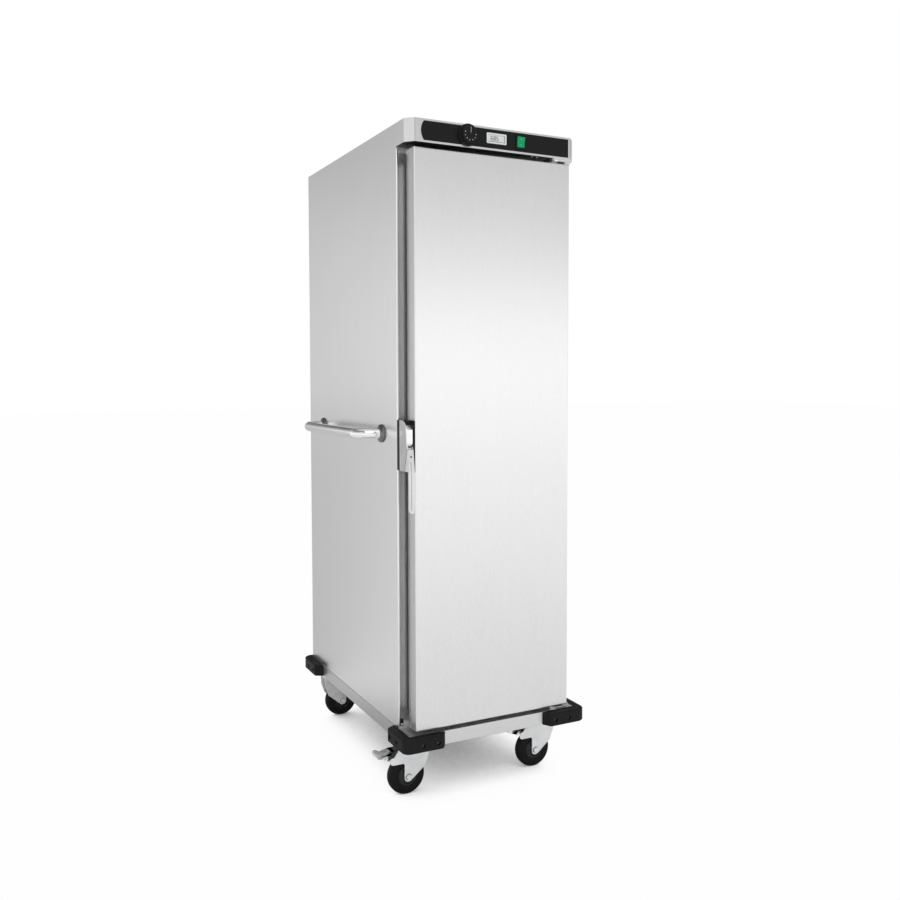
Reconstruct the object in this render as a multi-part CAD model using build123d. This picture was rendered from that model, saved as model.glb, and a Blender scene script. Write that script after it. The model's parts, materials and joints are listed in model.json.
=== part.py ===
from build123d import *
import math
import os

# A heated banquet cart in millimetres, front towards -Y, +Z up, standing on its four casters.
# The working frame has X = 0 in the middle of the cabinet, Y = 0 on the cabinet's front rim
# and Z = 0 on the floor. Everything moves to the middle of the footprint when it is written.

# Cabinet shell
cabinet_w = 500.0
cabinet_d = 702.0
cabinet_top = 1740.0
sheet = 1.5
seat_gap = 0.3
hem_t = 3.0
hem_len = 12.0
hem_r = 1.35
rear_flange = 15.0
roof_flange = 14.0

# Base frame with corner bumpers
wheel_clear = 45.4
base_h = 36.0
base_wall = 3.0
base_front = 70.0
base_rear = 0.0
base_lip = 25.0
cross_w = 40.0
cross_count = 2
pad_x = 108.0
pad_y = 104.0
pad_t = 6.0
bumper_t = 24.5
bumper_arm = 112.0
bumper_slant = 14.0
bumper_corner_r = 22.0
bumper_end_r = 10.0
bumper_edge = 2.5
bumper_rim_w = 4.0
bumper_rim_h = 1.0
bumper_hole_near = 53.5
bumper_hole_far = 96.5
bumper_recess_r = 5.5
bumper_recess = 9.0
bumper_screw_drop = 19.5
screw_head_af = 8.0
screw_head_h = 3.5

# Casters
caster_front_in = 54.5
caster_rear_side_in = 44.0
caster_front_y = 15.5
caster_rear_in = 60.0
caster_trail = 28.0
wheel_r = 50.8
wheel_w = 30.0
tyre_bevel = 6.0
hub_r = 26.0
hub_face = 1.0
axle_r = 4.0
run_gap = 0.05
plate_x = 85.0
plate_y = 100.0
plate_t = 4.0
race_r = 29.0
race_h = 9.0
king_pin_r = 6.0
bolt_x = 31.0
bolt_y = 38.0
bolt_head_af = 13.0
bolt_head_h = 5.0
crown_t = 4.0
leg_t = 3.0
leg_side_gap = 3.0
leg_bottom_r = 13.0
leg_back = 11.0
leg_heel = 17.0
leg_knee = 47.0
leg_knee_rise = 22.0
leg_shoulder = 58.0
leg_shoulder_rise = 50.0
leg_front = 60.0
leg_crown_back = 21.0
ear_reach = 51.0
ear_low_rise = 37.5
ear_h = 19.5
ear_r = 8.0
notch_r = 6.0
brake_reach = 116.0
brake_pivot_x = 42.0
brake_rise = 18.4
brake_pin_r = 5.0
brake_w = 34.0
brake_t = 9.0
brake_block = 75.0
brake_block_drop = 14.0
brake_hook = 8.0
brake_hook_drop = 20.0
brake_tip_t = 15.0
brake_tip_r = 6.0
shoe_gap = 0.9

# Control head over the door
head_h = 58.0
head_y = 73.0
head_chamfer_x = 21.0
head_chamfer_y = 22.0
fascia_in_left = 45.5
fascia_bulge = 8.0
fascia_in_right = 27.5
fascia_rise = 5.0
fascia_h = 48.0
fascia_t = 1.0
control_rise = 30.0
knob_x = -82.5
knob_r = 28.0
knob_skirt = 5.0
knob_grip_r = 20.5
knob_h = 16.0
knob_edge = 2.0
shaft_r = 3.0
shaft_hole_r = 5.0
thermostat_w = 42.0
thermostat_h = 34.0
thermostat_d = 30.0
gauge_x = 1.0
gauge_w = 58.0
gauge_h = 26.5
gauge_proud = 2.5
gauge_frame = 4.0
gauge_corner = 2.0
gauge_body_margin = 3.0
gauge_depth = 14.0
window_t = 1.0
window_sunk = 1.4
switch_x = 74.0
switch_w = 30.0
switch_h = 38.0
switch_proud = 2.0
rocker_w = 21.7
rocker_r = 14.7
rocker_proud = 3.2
rocker_dip = 1.6
rocker_depth = 11.0
rocker_tilt = 8.0
rocker_gap = 0.3
rocker_pin_r = 1.5
rocker_pin_len = 1.6
switch_depth = 24.0

# Front frame, with the recess that the door's seal closes on
sill_strip = 20.0
header_strip = 15.0
recess_depth = 20.0
recess_corner = 8.0
mouth_lip = 10.0
mouth_rise = 24.0
mouth_drop = 69.0
mouth_corner = 6.0

# Heated cavity and what is in it
wall_depth = 38.0
floor_drop = 13.0
ceiling_drop = 17.0
back_depth = 45.0
insulation_t = 25.0
runner_rise = 35.0
runner_pitch = 108.0
runner_w = 20.0
runner_t = 3.0
rack_back_gap = 27.0
rack_front = 40.0
rack_t = 1.5
baffle_rise = 6.0
baffle_front = 60.0
baffle_back_gap = 47.0
baffle_slot_w = 9.0
baffle_slot_len = 46.0
baffle_pitch_x = 69.0
baffle_pitch_y = 22.5
baffle_slot_rows = 4
baffle_slot_count = 6
fan_back_gap = 327.0
fan_r = 84.0
fan_h = 26.0
fan_hub_r = 14.0
fan_plate = 2.0
blade_count = 8
blade_t = 2.0
blade_inner_r = 42.0
fan_shaft_r = 4.0
fan_shaft_len = 28.0
fan_drop = 12.5
fan_hole_r = 12.0
blade_sweep = 30.0
blade_belly = 0.35
motor_r = 44.0
motor_h = 56.0
motor_foot = 112.0
motor_foot_t = 2.0
motor_cap_r = 22.0
motor_cap_h = 6.0
motor_clear = 12.0
heater_r = 4.0
heater_half = 118.0
heater_reach = 140.0
heater_back_gap = 157.0
heater_drop = 23.0
heater_end = 28.0
heater_clear = 4.0
inlet_x = -140.0
inlet_rise = 18.0
inlet_w = 48.0
inlet_h = 30.0
inlet_flange = 2.5
inlet_mouth_w = 27.0
inlet_mouth_h = 19.0
inlet_mouth_d = 17.0
inlet_body_d = 24.0
inlet_pin_len = 9.0
inlet_pin_w = 2.0
inlet_pin_h = 4.0
inlet_pin_pitch = 7.0
inlet_pin_rise = 2.4
vent_count = 7
vent_w = 5.0
vent_len = 60.0
vent_pitch = 14.0
vent_x = 110.0

# Door
door_in = 20.0
door_rise = 10.0
door_drop = 12.0
door_front = 68.0
door_back = 22.5
door_edge_r = 2.5
plug_in = 15.0
plug_margin = 12.0
plug_corner = 12.0
plug_depth = 9.0
seal_w = 12.0
hinge_in = 12.0
hinge_depth = 23.0
hinge_pin_r = 5.0
hinge_pin_len = 16.0
bush_r = 8.0
bush_len = 18.0
bush_flange_r = 10.0
bracket_t = 6.0
bracket_in_x0 = 52.0
bracket_in_x1 = 5.0
bracket_y0 = 69.0
bracket_y1 = 6.0
bracket_round = 26.0

# Latch beside the door's free edge
latch_pad_t = 3.0
latch_low = 861.0
latch_pad_high = 990.0
latch_back = 19.5
latch_black_z = 972.0
latch_cover_low = 924.0
latch_hollow_high = 926.0
latch_cover_front = 60.0
latch_slope_front = 64.0
latch_slope_back = 46.0
latch_round = 24.0
latch_cheek = 2.5
lever_top = 918.0
lever_tip = 756.0
lever_front_top = 66.0
lever_front_low = 74.0
lever_wall = 3.0
lever_blade_t = 3.5
lever_blade_w = 18.5
lever_pivot_y = 59.4
lever_pivot_z = 919.8
lever_pin_r = 1.6
lug_w = 5.0
lug_r = 3.2
lug_slot = 9.0
magnet_z = 889.0
magnet_h = 14.0
magnet_w = 8.0
strike_out = 19.0
strike_plate_t = 2.0

# Side handle
handle_front_y = 103.0
handle_rear_y = 571.0
handle_z = 950.0
handle_reach = 60.0
handle_r = 14.0
handle_bend = 45.0
flange_r = 24.5
flange_t = 9.0
handle_bolt_af = 10.0
handle_bolt_t = 3.5

# Sizes that follow from the ones above
half_w = cabinet_w / 2
latch_out = half_w
base_z = 2 * wheel_r + wheel_clear
brake_pivot_z = 2 * wheel_r + brake_rise
brake_shoe_z = 2 * wheel_r + shoe_gap
leg_gap = wheel_w / 2 + leg_side_gap
caster_front_x = half_w - caster_front_in
caster_rear_x = half_w - caster_rear_side_in
caster_rear_y = cabinet_d - caster_rear_in
head_z = cabinet_top - head_h
fascia_left = half_w - fascia_in_left
fascia_right = half_w - fascia_in_right
fascia_low = head_z + fascia_rise
fascia_high = fascia_low + fascia_h
control_z = head_z + control_rise
base_top = base_z + base_h
recess_low = base_top + sill_strip
recess_high = head_z - header_strip
cavity_half = half_w - wall_depth
mouth_half = cavity_half - mouth_lip
mouth_low = recess_low + mouth_rise
mouth_high = recess_high - mouth_drop
cavity_low = mouth_low - floor_drop
cavity_high = recess_high - ceiling_drop
cavity_back = cabinet_d - back_depth
runner_low = mouth_low + runner_rise
# As many runners as fit under the mouth's upper edge.
runner_count = int((mouth_high - runner_low) // runner_pitch)
runner_len = cavity_back - rack_back_gap - rack_front
baffle_z = mouth_high + baffle_rise
baffle_back = cavity_back - baffle_back_gap
heater_z = cavity_high - heater_drop
heater_back = cavity_back - heater_back_gap
fan_y = cavity_back - fan_back_gap
heater_front = fan_y - heater_reach
inlet_z = head_z + inlet_rise
door_half = half_w - door_in
door_low = base_top + door_rise
door_high = head_z - door_drop
plug_half = door_half - plug_in
hinge_x = door_half - hinge_in
hinge_y = door_front - hinge_depth
bracket_x0 = door_half - bracket_in_x0
bracket_x1 = half_w - bracket_in_x1
latch_body_high = latch_pad_high
base_low_y = -base_front
base_high_y = cabinet_d + base_rear
bumper_out_x = half_w + bumper_t
handle_axis_x = half_w + handle_reach
frame_half = half_w - hem_t - seat_gap
frame_back = recess_depth + sheet
cavity_front = frame_back + seat_gap
plug_low = recess_low + plug_margin
plug_high = recess_high - plug_margin
seal_back = recess_depth - seat_gap
head_front = -head_y
fascia_front = head_front - fascia_t
axle_z = wheel_r
crown_top = base_z - plate_t - race_h - seat_gap
crown_low = crown_top - crown_t
liner_out = cavity_half + sheet
latch_in = door_half + latch_pad_t
magnet_travel = 4.0
caster_places = {
    "front_left": (-caster_front_x, caster_front_y, -1),
    "front_right": (caster_front_x, caster_front_y, -1),
    "rear_left": (-caster_rear_x, caster_rear_y, 1),
    "rear_right": (caster_rear_x, caster_rear_y, -1),
}
caster_spots = [(x, y) for x, y, trail in caster_places.values()]
braked = ("front_left", "front_right")
origin_x = (bumper_out_x - handle_axis_x - handle_r) / 2
origin_y = (base_high_y + base_low_y) / 2

parts = {}


def block(x0, x1, y0, y1, z0, z1):
    """A box between two corners."""
    low = (Align.MIN, Align.MIN, Align.MIN)
    return Pos(x0, y0, z0) * Box(x1 - x0, y1 - y0, z1 - z0, align=low)


def rod_x(x0, x1, y, z, r):
    """A round bar along X."""
    return Pos((x0 + x1) / 2, y, z) * Rot(0, 90, 0) * Cylinder(r, x1 - x0)


def rod_y(x, y0, y1, z, r):
    """A round bar along Y."""
    return Pos(x, (y0 + y1) / 2, z) * Rot(90, 0, 0) * Cylinder(r, y1 - y0)


def rod_z(x, y, z0, z1, r):
    """A round bar along Z."""
    return Pos(x, y, (z0 + z1) / 2) * Cylinder(r, z1 - z0)


def hex_bar(place, across_flats, height):
    """A hexagonal bar that stands on a plane."""
    hexagon = RegularPolygon(across_flats / 2, 6, major_radius=False)
    return extrude(place * hexagon, amount=height)


def side_profile(points, x0, x1):
    """A solid whose outline is drawn on the YZ plane and which runs from x0 to x1."""
    outline = make_face(Polyline(*[(x0, y, z) for y, z in points], close=True))
    return extrude(outline, amount=x1 - x0, dir=(1, 0, 0))


def front_profile(points, y0, y1):
    """A solid whose outline is drawn on the XZ plane and which runs from y0 to y1."""
    outline = make_face(Polyline(*[(x, y0, z) for x, z in points], close=True))
    return extrude(outline, amount=y1 - y0, dir=(0, 1, 0))


def plan_profile(points, z0, z1):
    """A solid whose outline is drawn on the XY plane and which runs from z0 to z1."""
    outline = make_face(Polyline(*[(x, y, z0) for x, y in points], close=True))
    return extrude(outline, amount=z1 - z0, dir=(0, 0, 1))


def rounded_slab(half_x, z0, z1, y0, y1, corner):
    """A slab that stands in the XZ plane, with rounded corners."""
    slab = block(-half_x, half_x, y0, y1, z0, z1)
    return fillet(slab.edges().filter_by(Axis.Y), corner)


# Base frame: a folded pan with a lip, cross channels and a pad over each caster
def base_frame():
    pan = block(-half_w, half_w, base_low_y, base_high_y, base_z, base_top)
    inside_x = half_w - base_wall
    inside_y0 = base_low_y + base_wall
    inside_y1 = base_high_y - base_wall
    ceiling = base_top - base_wall
    lip_top = base_z + base_wall
    pan -= block(-inside_x, inside_x, inside_y0, inside_y1, lip_top, ceiling)
    well_x = half_w - base_lip
    well_y0 = base_low_y + base_lip
    well_y1 = base_high_y - base_lip
    pan -= block(-well_x, well_x, well_y0, well_y1, base_z, lip_top)
    bay = (well_y1 - well_y0) / (cross_count + 1)
    for index in range(cross_count):
        middle = well_y0 + bay * (index + 1)
        pan += block(-inside_x, inside_x, middle - cross_w / 2, middle + cross_w / 2, base_z, ceiling)
    for x, y in caster_spots:
        out_x = math.copysign(inside_x, x)
        in_x = out_x - math.copysign(pad_x, x)
        low_y = max(y - pad_y / 2, inside_y0)
        high_y = min(y + pad_y / 2, inside_y1)
        pan += block(min(out_x, in_x), max(out_x, in_x), low_y, high_y, base_z, base_z + pad_t)
    return pan


# Corner bumpers
def bumper(side, end):
    """A moulded L that wraps a corner. side is -1 left or 1 right, end is -1 front or 1 rear."""
    arm = bumper_arm + bumper_slant
    outline = [
        (0, 0),
        (bumper_arm, 0),
        (arm, bumper_t),
        (bumper_t, bumper_t),
        (bumper_t, arm),
        (0, bumper_arm),
    ]
    body = plan_profile(outline, base_z, base_top)
    uprights = body.edges().filter_by(Axis.Z)
    body = fillet(uprights.sort_by_distance((0, 0, base_z))[0], bumper_corner_r)
    ends = [e for e in body.edges().filter_by(Axis.Z) if on_arm_end(e)]
    body = fillet(ends, bumper_end_r)
    outer = [e for e in body.edges() if outer_rim(e)]
    body = chamfer(outer, bumper_edge)
    rim = plan_profile(
        [
            (bumper_arm, bumper_t),
            (bumper_t, bumper_t),
            (bumper_t, bumper_arm),
            (bumper_t - bumper_rim_w, bumper_arm),
            (bumper_t - bumper_rim_w, bumper_t - bumper_rim_w),
            (bumper_arm, bumper_t - bumper_rim_w),
        ],
        base_top,
        base_top + bumper_rim_h,
    )
    body += rim
    drop = base_top - bumper_screw_drop
    for along in (bumper_hole_near, bumper_hole_far):
        body -= rod_y(along, 0, bumper_recess, drop, bumper_recess_r)
        body -= rod_x(0, bumper_recess, along, drop, bumper_recess_r)
    if side > 0:
        body = mirror(body, about=Plane.YZ)
    if end > 0:
        body = mirror(body, about=Plane.XZ)
    return Pos(side * bumper_out_x, bumper_out_y(end), 0) * body


def on_arm_end(edge):
    """Says whether an upright edge is where an arm's outer face meets its slanted end."""
    place = edge.center()
    return abs(max(place.X, place.Y) - bumper_arm) < 0.01 and abs(min(place.X, place.Y)) < 0.01


def outer_rim(edge):
    """Says whether an edge lies on the outer face, at the top or the bottom of a bumper."""
    flat = edge.bounding_box().size.Z < 0.01
    middle = edge @ 0.5
    straight = min(middle.X, middle.Y) < 0.01 and max(middle.X, middle.Y) < bumper_arm
    return flat and (straight or max(middle.X, middle.Y) < bumper_corner_r)


def bumper_out_y(end):
    """The Y of the front or rear bumpers' outer face."""
    return base_low_y - bumper_t if end < 0 else base_high_y + bumper_t


def bumper_screws():
    """The hexagonal heads that sit on the floors of the bumpers' recesses."""
    z = base_top - bumper_screw_drop
    heads = []
    for side in (-1, 1):
        for end in (-1, 1):
            floor_x = side * (bumper_out_x - bumper_recess)
            floor_y = bumper_out_y(end) - end * bumper_recess
            for along in (bumper_hole_near, bumper_hole_far):
                x = side * (bumper_out_x - along)
                y = bumper_out_y(end) - end * along
                front = Plane(origin=(x, floor_y, z), x_dir=(1, 0, 0), z_dir=(0, end, 0))
                flank = Plane(origin=(floor_x, y, z), x_dir=(0, 1, 0), z_dir=(side, 0, 0))
                heads.append(hex_bar(front, screw_head_af, screw_head_h))
                heads.append(hex_bar(flank, screw_head_af, screw_head_h))
    return Compound(heads)


# Casters
def caster_plates():
    """Each caster's top plate, with the upper race and the king pin that the fork turns on."""
    plates = []
    for x, y in caster_spots:
        plate = block(x - plate_x / 2, x + plate_x / 2, y - plate_y / 2, y + plate_y / 2, base_z - plate_t, base_z)
        plate += rod_z(x, y, base_z - plate_t - race_h, base_z - plate_t, race_r)
        plate += rod_z(x, y, crown_low, base_z - plate_t, king_pin_r)
        plates.append(plate.solids()[0])
    return Compound(plates)


def caster_bolts():
    """The hexagonal heads of the four bolts under each top plate."""
    heads = []
    for x, y in caster_spots:
        for side in (-1, 1):
            for end in (-1, 1):
                seat = Plane(origin=(x + side * bolt_x, y + end * bolt_y, base_z - plate_t - bolt_head_h))
                heads.append(hex_bar(seat, bolt_head_af, bolt_head_h))
    return Compound(heads)


def leg_outline(with_ear):
    """A fork leg's outline around the axle, with the swivel axis at X = caster_trail."""
    # The front edge runs down from the knee to touch the round around the axle.
    away = math.hypot(leg_knee, leg_knee_rise)
    touch = math.atan2(leg_knee_rise, leg_knee) - math.acos(leg_bottom_r / away)
    front = (leg_bottom_r * math.cos(touch), leg_bottom_r * math.sin(touch))
    heel_drop = math.sqrt(leg_bottom_r**2 - leg_back**2)
    crown_rise = crown_top - axle_z
    edge = [(-leg_back, -heel_drop)]
    if with_ear:
        edge += [(-leg_back, ear_low_rise), (-ear_reach, ear_low_rise), (-ear_reach, ear_low_rise + ear_h)]
        edge += [(-ear_reach + ear_h / 2, ear_low_rise + ear_h), (-leg_crown_back, crown_rise)]
    else:
        edge += [(-leg_heel, crown_low - axle_z), (-leg_heel + crown_t, crown_rise)]
    edge += [(leg_front, crown_rise), (leg_shoulder, leg_shoulder_rise), (leg_knee, leg_knee_rise), front]
    sides = Polyline(*[(x, 0, z) for x, z in edge])
    bottom = ThreePointArc((front[0], 0, front[1]), (0, 0, -leg_bottom_r), (-leg_back, 0, -heel_drop))
    leg = make_face(sides + bottom)
    if with_ear:
        corners = leg.vertices().sort_by_distance((-leg_back, 0, ear_low_rise))[:1]
        leg = fillet(corners, notch_r)
        ends = [v for v in leg.vertices() if v.X < -ear_reach + 0.01]
        leg = fillet(ends, ear_r)
    return Pos(-caster_trail, 0, axle_z) * leg


def caster_fork(with_ear):
    """A pressed fork with its axle, drawn with the swivel axis on X = Y = 0 and the wheel towards -X."""
    leg = extrude(leg_outline(with_ear), amount=leg_t, dir=(0, 1, 0))
    fork = Pos(0, leg_gap, 0) * leg + Pos(0, -leg_gap - leg_t, 0) * leg
    reach = leg_gap + leg_t
    crown_back = brake_pivot_x - brake_pin_r - brake_t / 2 if with_ear else caster_trail + leg_heel - crown_t
    fork += block(-crown_back, leg_front - caster_trail, -reach, reach, crown_low, crown_top)
    fork -= rod_z(0, 0, crown_low, crown_top, king_pin_r + run_gap)
    fork += rod_y(-caster_trail, -leg_gap, leg_gap, axle_z, axle_r)
    for side in (-1, 1):
        seat = Plane(origin=(-caster_trail, side * reach, axle_z), x_dir=(1, 0, 0), z_dir=(0, side, 0))
        fork += hex_bar(seat, bolt_head_af, bolt_head_h)
    return fork


def caster_hub():
    """A nylon wheel centre, drawn around the Y axis."""
    web = wheel_w / 2 + hub_face
    return rod_y(0, -web, web, 0, hub_r) - rod_y(0, -web, web, 0, axle_r + run_gap)


def caster_tyre():
    """A tyre with bevelled shoulders, drawn around the Y axis."""
    half = wheel_w / 2
    outline = Polyline(
        (hub_r, -half, 0),
        (wheel_r - tyre_bevel, -half, 0),
        (wheel_r, -half + tyre_bevel, 0),
        (wheel_r, half - tyre_bevel, 0),
        (wheel_r - tyre_bevel, half, 0),
        (hub_r, half, 0),
        close=True,
    )
    return revolve(make_face(outline), axis=Axis.Y)


def caster_brake():
    """A foot pedal with its block, shoe and trunnion, drawn with the swivel axis on X = Y = 0."""
    half = brake_w / 2
    front = -brake_pivot_x + brake_t / 2
    waist = -(brake_block + brake_reach) / 2
    outline = [
        (front, brake_pivot_z + brake_t / 2),
        (-brake_block, brake_pivot_z + brake_t / 3),
        (waist, brake_pivot_z - brake_t / 4),
        (-brake_reach, brake_pivot_z + brake_tip_t / 2),
        (-brake_reach, brake_pivot_z - brake_tip_t / 2),
        (waist, brake_pivot_z - brake_block_drop),
        (-brake_block - brake_hook, brake_pivot_z - brake_hook_drop),
        (-brake_block, brake_pivot_z - brake_block_drop),
        (-brake_pivot_x - brake_t * 2, brake_pivot_z - brake_block_drop),
        (-brake_pivot_x - brake_t * 2, brake_shoe_z),
        (-brake_pivot_x - brake_t, brake_shoe_z),
        (front, brake_pivot_z - brake_t / 2),
    ]
    pedal = front_profile(outline, -half, half)
    pedal = fillet(pedal.edges().filter_by(Axis.Y).group_by(Axis.X)[0], brake_tip_r)
    reach = leg_gap - seat_gap
    return pedal + rod_y(-brake_pivot_x, -reach, reach, brake_pivot_z, brake_pin_r)


def place_caster_piece(piece, place):
    """Turns a piece drawn with its wheel towards -X the way that its caster trails."""
    x, y, trail = caster_places[place]
    turn = 0 if trail < 0 else 180
    return Pos(x, y, 0) * Rot(0, 0, turn) * piece


def axle_place(place):
    x, y, trail = caster_places[place]
    return Pos(x + trail * caster_trail, y, axle_z)


# Cabinet panels
def side_panel(side):
    """A side sheet with a rounded hem along the front rim and a flange at the rear."""
    skin = half_w - sheet
    panel = block(-half_w, -skin, hem_len, cabinet_d, base_top, cabinet_top)
    panel += block(-half_w, -skin, 0, hem_len, head_z, cabinet_top)
    hem = block(-half_w, -half_w + hem_t, 0, hem_len, base_top, head_z)
    panel += fillet(hem.edges().filter_by(Axis.Z).group_by(Axis.Y)[0], hem_r)
    panel += block(-half_w, -half_w + rear_flange, cabinet_d - sheet, cabinet_d, base_top, cabinet_top)
    return panel if side < 0 else mirror(panel, about=Plane.YZ)


def roof_panel():
    half = half_w - sheet - seat_gap
    low = cabinet_top - roof_flange
    skin = cabinet_top - sheet
    outline = [
        (-half, low),
        (-half, cabinet_top),
        (half, cabinet_top),
        (half, low),
        (half - sheet, low),
        (half - sheet, skin),
        (-half + sheet, skin),
        (-half + sheet, low),
    ]
    return front_profile(outline, 0, cabinet_d - sheet)


def back_panel():
    half = half_w - sheet - seat_gap
    front = cabinet_d - 2 * sheet
    back = cabinet_d - sheet
    panel = block(-half, half, front, back, base_top, cabinet_top - roof_flange - seat_gap)
    opening_w = inlet_w / 2 - inlet_flange * 2
    opening_h = inlet_h / 2 - inlet_flange
    panel -= block(inlet_x - opening_w, inlet_x + opening_w, front, back, inlet_z - opening_h, inlet_z + opening_h)
    for index in range(vent_count):
        x = vent_x + (index - (vent_count - 1) / 2) * vent_pitch
        panel -= block(x - vent_w / 2, x + vent_w / 2, front, back, inlet_z - vent_len / 2, inlet_z + vent_len / 2 - roof_flange)
    return panel


def front_frame():
    """Header, sill and two stiles, welded end to end, with the seal's recess and the cavity's mouth."""
    high = cabinet_top - sheet - seat_gap
    frame = block(-frame_half, frame_half, 0, frame_back, base_top, high)
    frame -= rounded_slab(frame_half - sheet, recess_low, recess_high, 0, recess_depth, recess_corner)
    frame -= rounded_slab(mouth_half, mouth_low, mouth_high, recess_depth, frame_back, mouth_corner)
    inner = frame_half - sheet
    frame -= block(-inner, inner, sheet, frame_back, recess_high + sheet, high - sheet)
    frame -= block(-inner, inner, sheet, frame_back, base_top + sheet, recess_low - sheet)
    frame += block(-inner, inner, recess_depth, frame_back, recess_high, recess_high + roof_flange)
    members = [
        block(-half_w, half_w, 0, frame_back, mouth_high, cabinet_top),
        block(-half_w, half_w, 0, frame_back, base_top, mouth_low),
        block(-half_w, 0, 0, frame_back, mouth_low, mouth_high),
        block(0, half_w, 0, frame_back, mouth_low, mouth_high),
    ]
    return Compound([(frame & member).solids()[0] for member in members])


# Heated cavity
def inner_liner():
    """Five sheets that butt along their edges."""
    back = cavity_back + sheet
    walls = [
        block(-liner_out, -cavity_half, cavity_front, back, cavity_low, cavity_high),
        block(cavity_half, liner_out, cavity_front, back, cavity_low, cavity_high),
        block(-cavity_half, cavity_half, cavity_back, back, cavity_low, cavity_high),
        block(-liner_out, liner_out, cavity_front, back, cavity_low - sheet, cavity_low),
    ]
    roof = block(-liner_out, liner_out, cavity_front, back, cavity_high, cavity_high + sheet)
    roof -= rod_z(0, fan_y, cavity_high, cavity_high + sheet, fan_hole_r)
    for x in (-heater_half, heater_half):
        roof -= rod_z(x, heater_back, cavity_high, cavity_high + sheet, heater_r + seat_gap)
    return Compound(walls + [roof.solids()[0]])


def insulation():
    """Fibre boards around the liner, cut out for the motor, the heater's ends and the handle's bolts."""
    inner = liner_out + seat_gap
    outer = inner + insulation_t
    low = cavity_low - sheet - seat_gap
    high = cavity_high + sheet + seat_gap
    back = cavity_back + sheet + seat_gap
    boards = [
        block(-outer, -inner, cavity_front, back + insulation_t, low, high),
        block(inner, outer, cavity_front, back + insulation_t, low, high),
        block(-inner, inner, back, back + insulation_t, low, high),
        block(-inner, inner, cavity_front, back, low - insulation_t, low),
    ]
    top = block(-outer, outer, cavity_front, back, high, high + insulation_t)
    clear = motor_foot / 2 + motor_clear
    top -= block(-clear, clear, fan_y - clear, fan_y + clear, high, high + insulation_t)
    for x in (-heater_half, heater_half):
        top -= rod_z(x, heater_back, high, high + insulation_t, heater_r + heater_clear)
    return Compound(boards + [top.solids()[0]])


def tray_rack(side):
    """A wall sheet and the runners that stand out from it, one pair of racks to a tray's two edges."""
    wall_in = cavity_half - seat_gap - rack_t
    top = runner_low + runner_pitch * (runner_count - 1) + runner_w
    back = rack_front + runner_len
    solids = [block(wall_in, wall_in + rack_t, rack_front, back, runner_low - runner_w, top)]
    for index in range(runner_count):
        z = runner_low + index * runner_pitch
        solids.append(block(wall_in - runner_w, wall_in, rack_front, back, z - runner_t, z))
    rack = Compound(solids)
    return mirror(rack, about=Plane.YZ) if side < 0 else rack


def fan_baffle():
    """A slotted ceiling plate under the fan, with a flange up to the liner on each side."""
    half = cavity_half - seat_gap
    outline = [
        (-half, baffle_z + roof_flange),
        (-half, baffle_z),
        (half, baffle_z),
        (half, baffle_z + roof_flange),
        (half - sheet, baffle_z + roof_flange),
        (half - sheet, baffle_z + sheet),
        (-half + sheet, baffle_z + sheet),
        (-half + sheet, baffle_z + roof_flange),
    ]
    plate = front_profile(outline, baffle_front, baffle_back)
    slot = block(-baffle_slot_len / 2, baffle_slot_len / 2, -baffle_slot_w / 2, baffle_slot_w / 2, 0, sheet)
    for row in range(baffle_slot_rows):
        x = (row - (baffle_slot_rows - 1) / 2) * baffle_pitch_x
        for index in range(baffle_slot_count):
            y = fan_y + (index - (baffle_slot_count - 1) / 2) * baffle_pitch_y
            plate -= Pos(x, y, baffle_z) * slot
    return plate


def blade_arc(r0, r1, sweep):
    """A curved line from radius r0 to r1 that bends back by sweep degrees."""
    turn = math.radians(sweep)
    middle_r = (r0 + r1) / 2
    middle_turn = turn * blade_belly
    return [
        (r0, 0),
        (middle_r * math.cos(middle_turn), -middle_r * math.sin(middle_turn)),
        (r1 * math.cos(turn), -r1 * math.sin(turn)),
    ]


def fan_wheel():
    """A radial fan with curved blades on a back plate, and its shaft."""
    top = cavity_high - fan_drop
    plate_low = top - fan_plate
    wheel = rod_z(0, fan_y, plate_low, top, fan_r)
    wheel += rod_z(0, fan_y, top - fan_h, plate_low, fan_hub_r)
    inner = blade_arc(blade_inner_r, fan_r - blade_t, blade_sweep)
    outer = blade_arc(blade_inner_r + blade_t, fan_r - blade_t, blade_sweep - math.degrees(blade_t / fan_r))
    edge_a = ThreePointArc(*inner)
    edge_b = ThreePointArc(*[(x, y + blade_t) for x, y in outer])
    ends = Line(edge_a @ 0, edge_b @ 0) + Line(edge_a @ 1, edge_b @ 1)
    blade = extrude(make_face(edge_a + edge_b + ends), amount=fan_h - fan_plate)
    for index in range(blade_count):
        wheel += Pos(0, fan_y, top - fan_h) * Rot(0, 0, 360 / blade_count * index) * blade
    return wheel + rod_z(0, fan_y, top, cavity_high + fan_shaft_len, fan_shaft_r)


def fan_motor():
    """A motor can on a square foot that stands on the liner's roof."""
    foot_low = cavity_high + sheet
    foot = motor_foot / 2
    motor = block(-foot, foot, fan_y - foot, fan_y + foot, foot_low, foot_low + motor_foot_t)
    motor += rod_z(0, fan_y, foot_low, foot_low + motor_h, motor_r)
    motor += rod_z(0, fan_y, foot_low + motor_h, foot_low + motor_h + motor_cap_h, motor_cap_r)
    return motor - rod_z(0, fan_y, foot_low, cavity_high + fan_shaft_len + seat_gap, fan_shaft_r + run_gap)


def heater_element():
    """A tubular heater bent around the fan, with both ends up through the liner's roof."""
    end_z = cavity_high + heater_end
    path = Polyline(
        (-heater_half, heater_back, end_z),
        (-heater_half, heater_back, heater_z),
        (-heater_half, heater_front, heater_z),
        (heater_half, heater_front, heater_z),
        (heater_half, heater_back, heater_z),
        (heater_half, heater_back, end_z),
    )
    section = Plane(origin=path @ 0, z_dir=path % 0) * Circle(heater_r)
    return sweep(section, path=path, transition=Transition.RIGHT)


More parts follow.
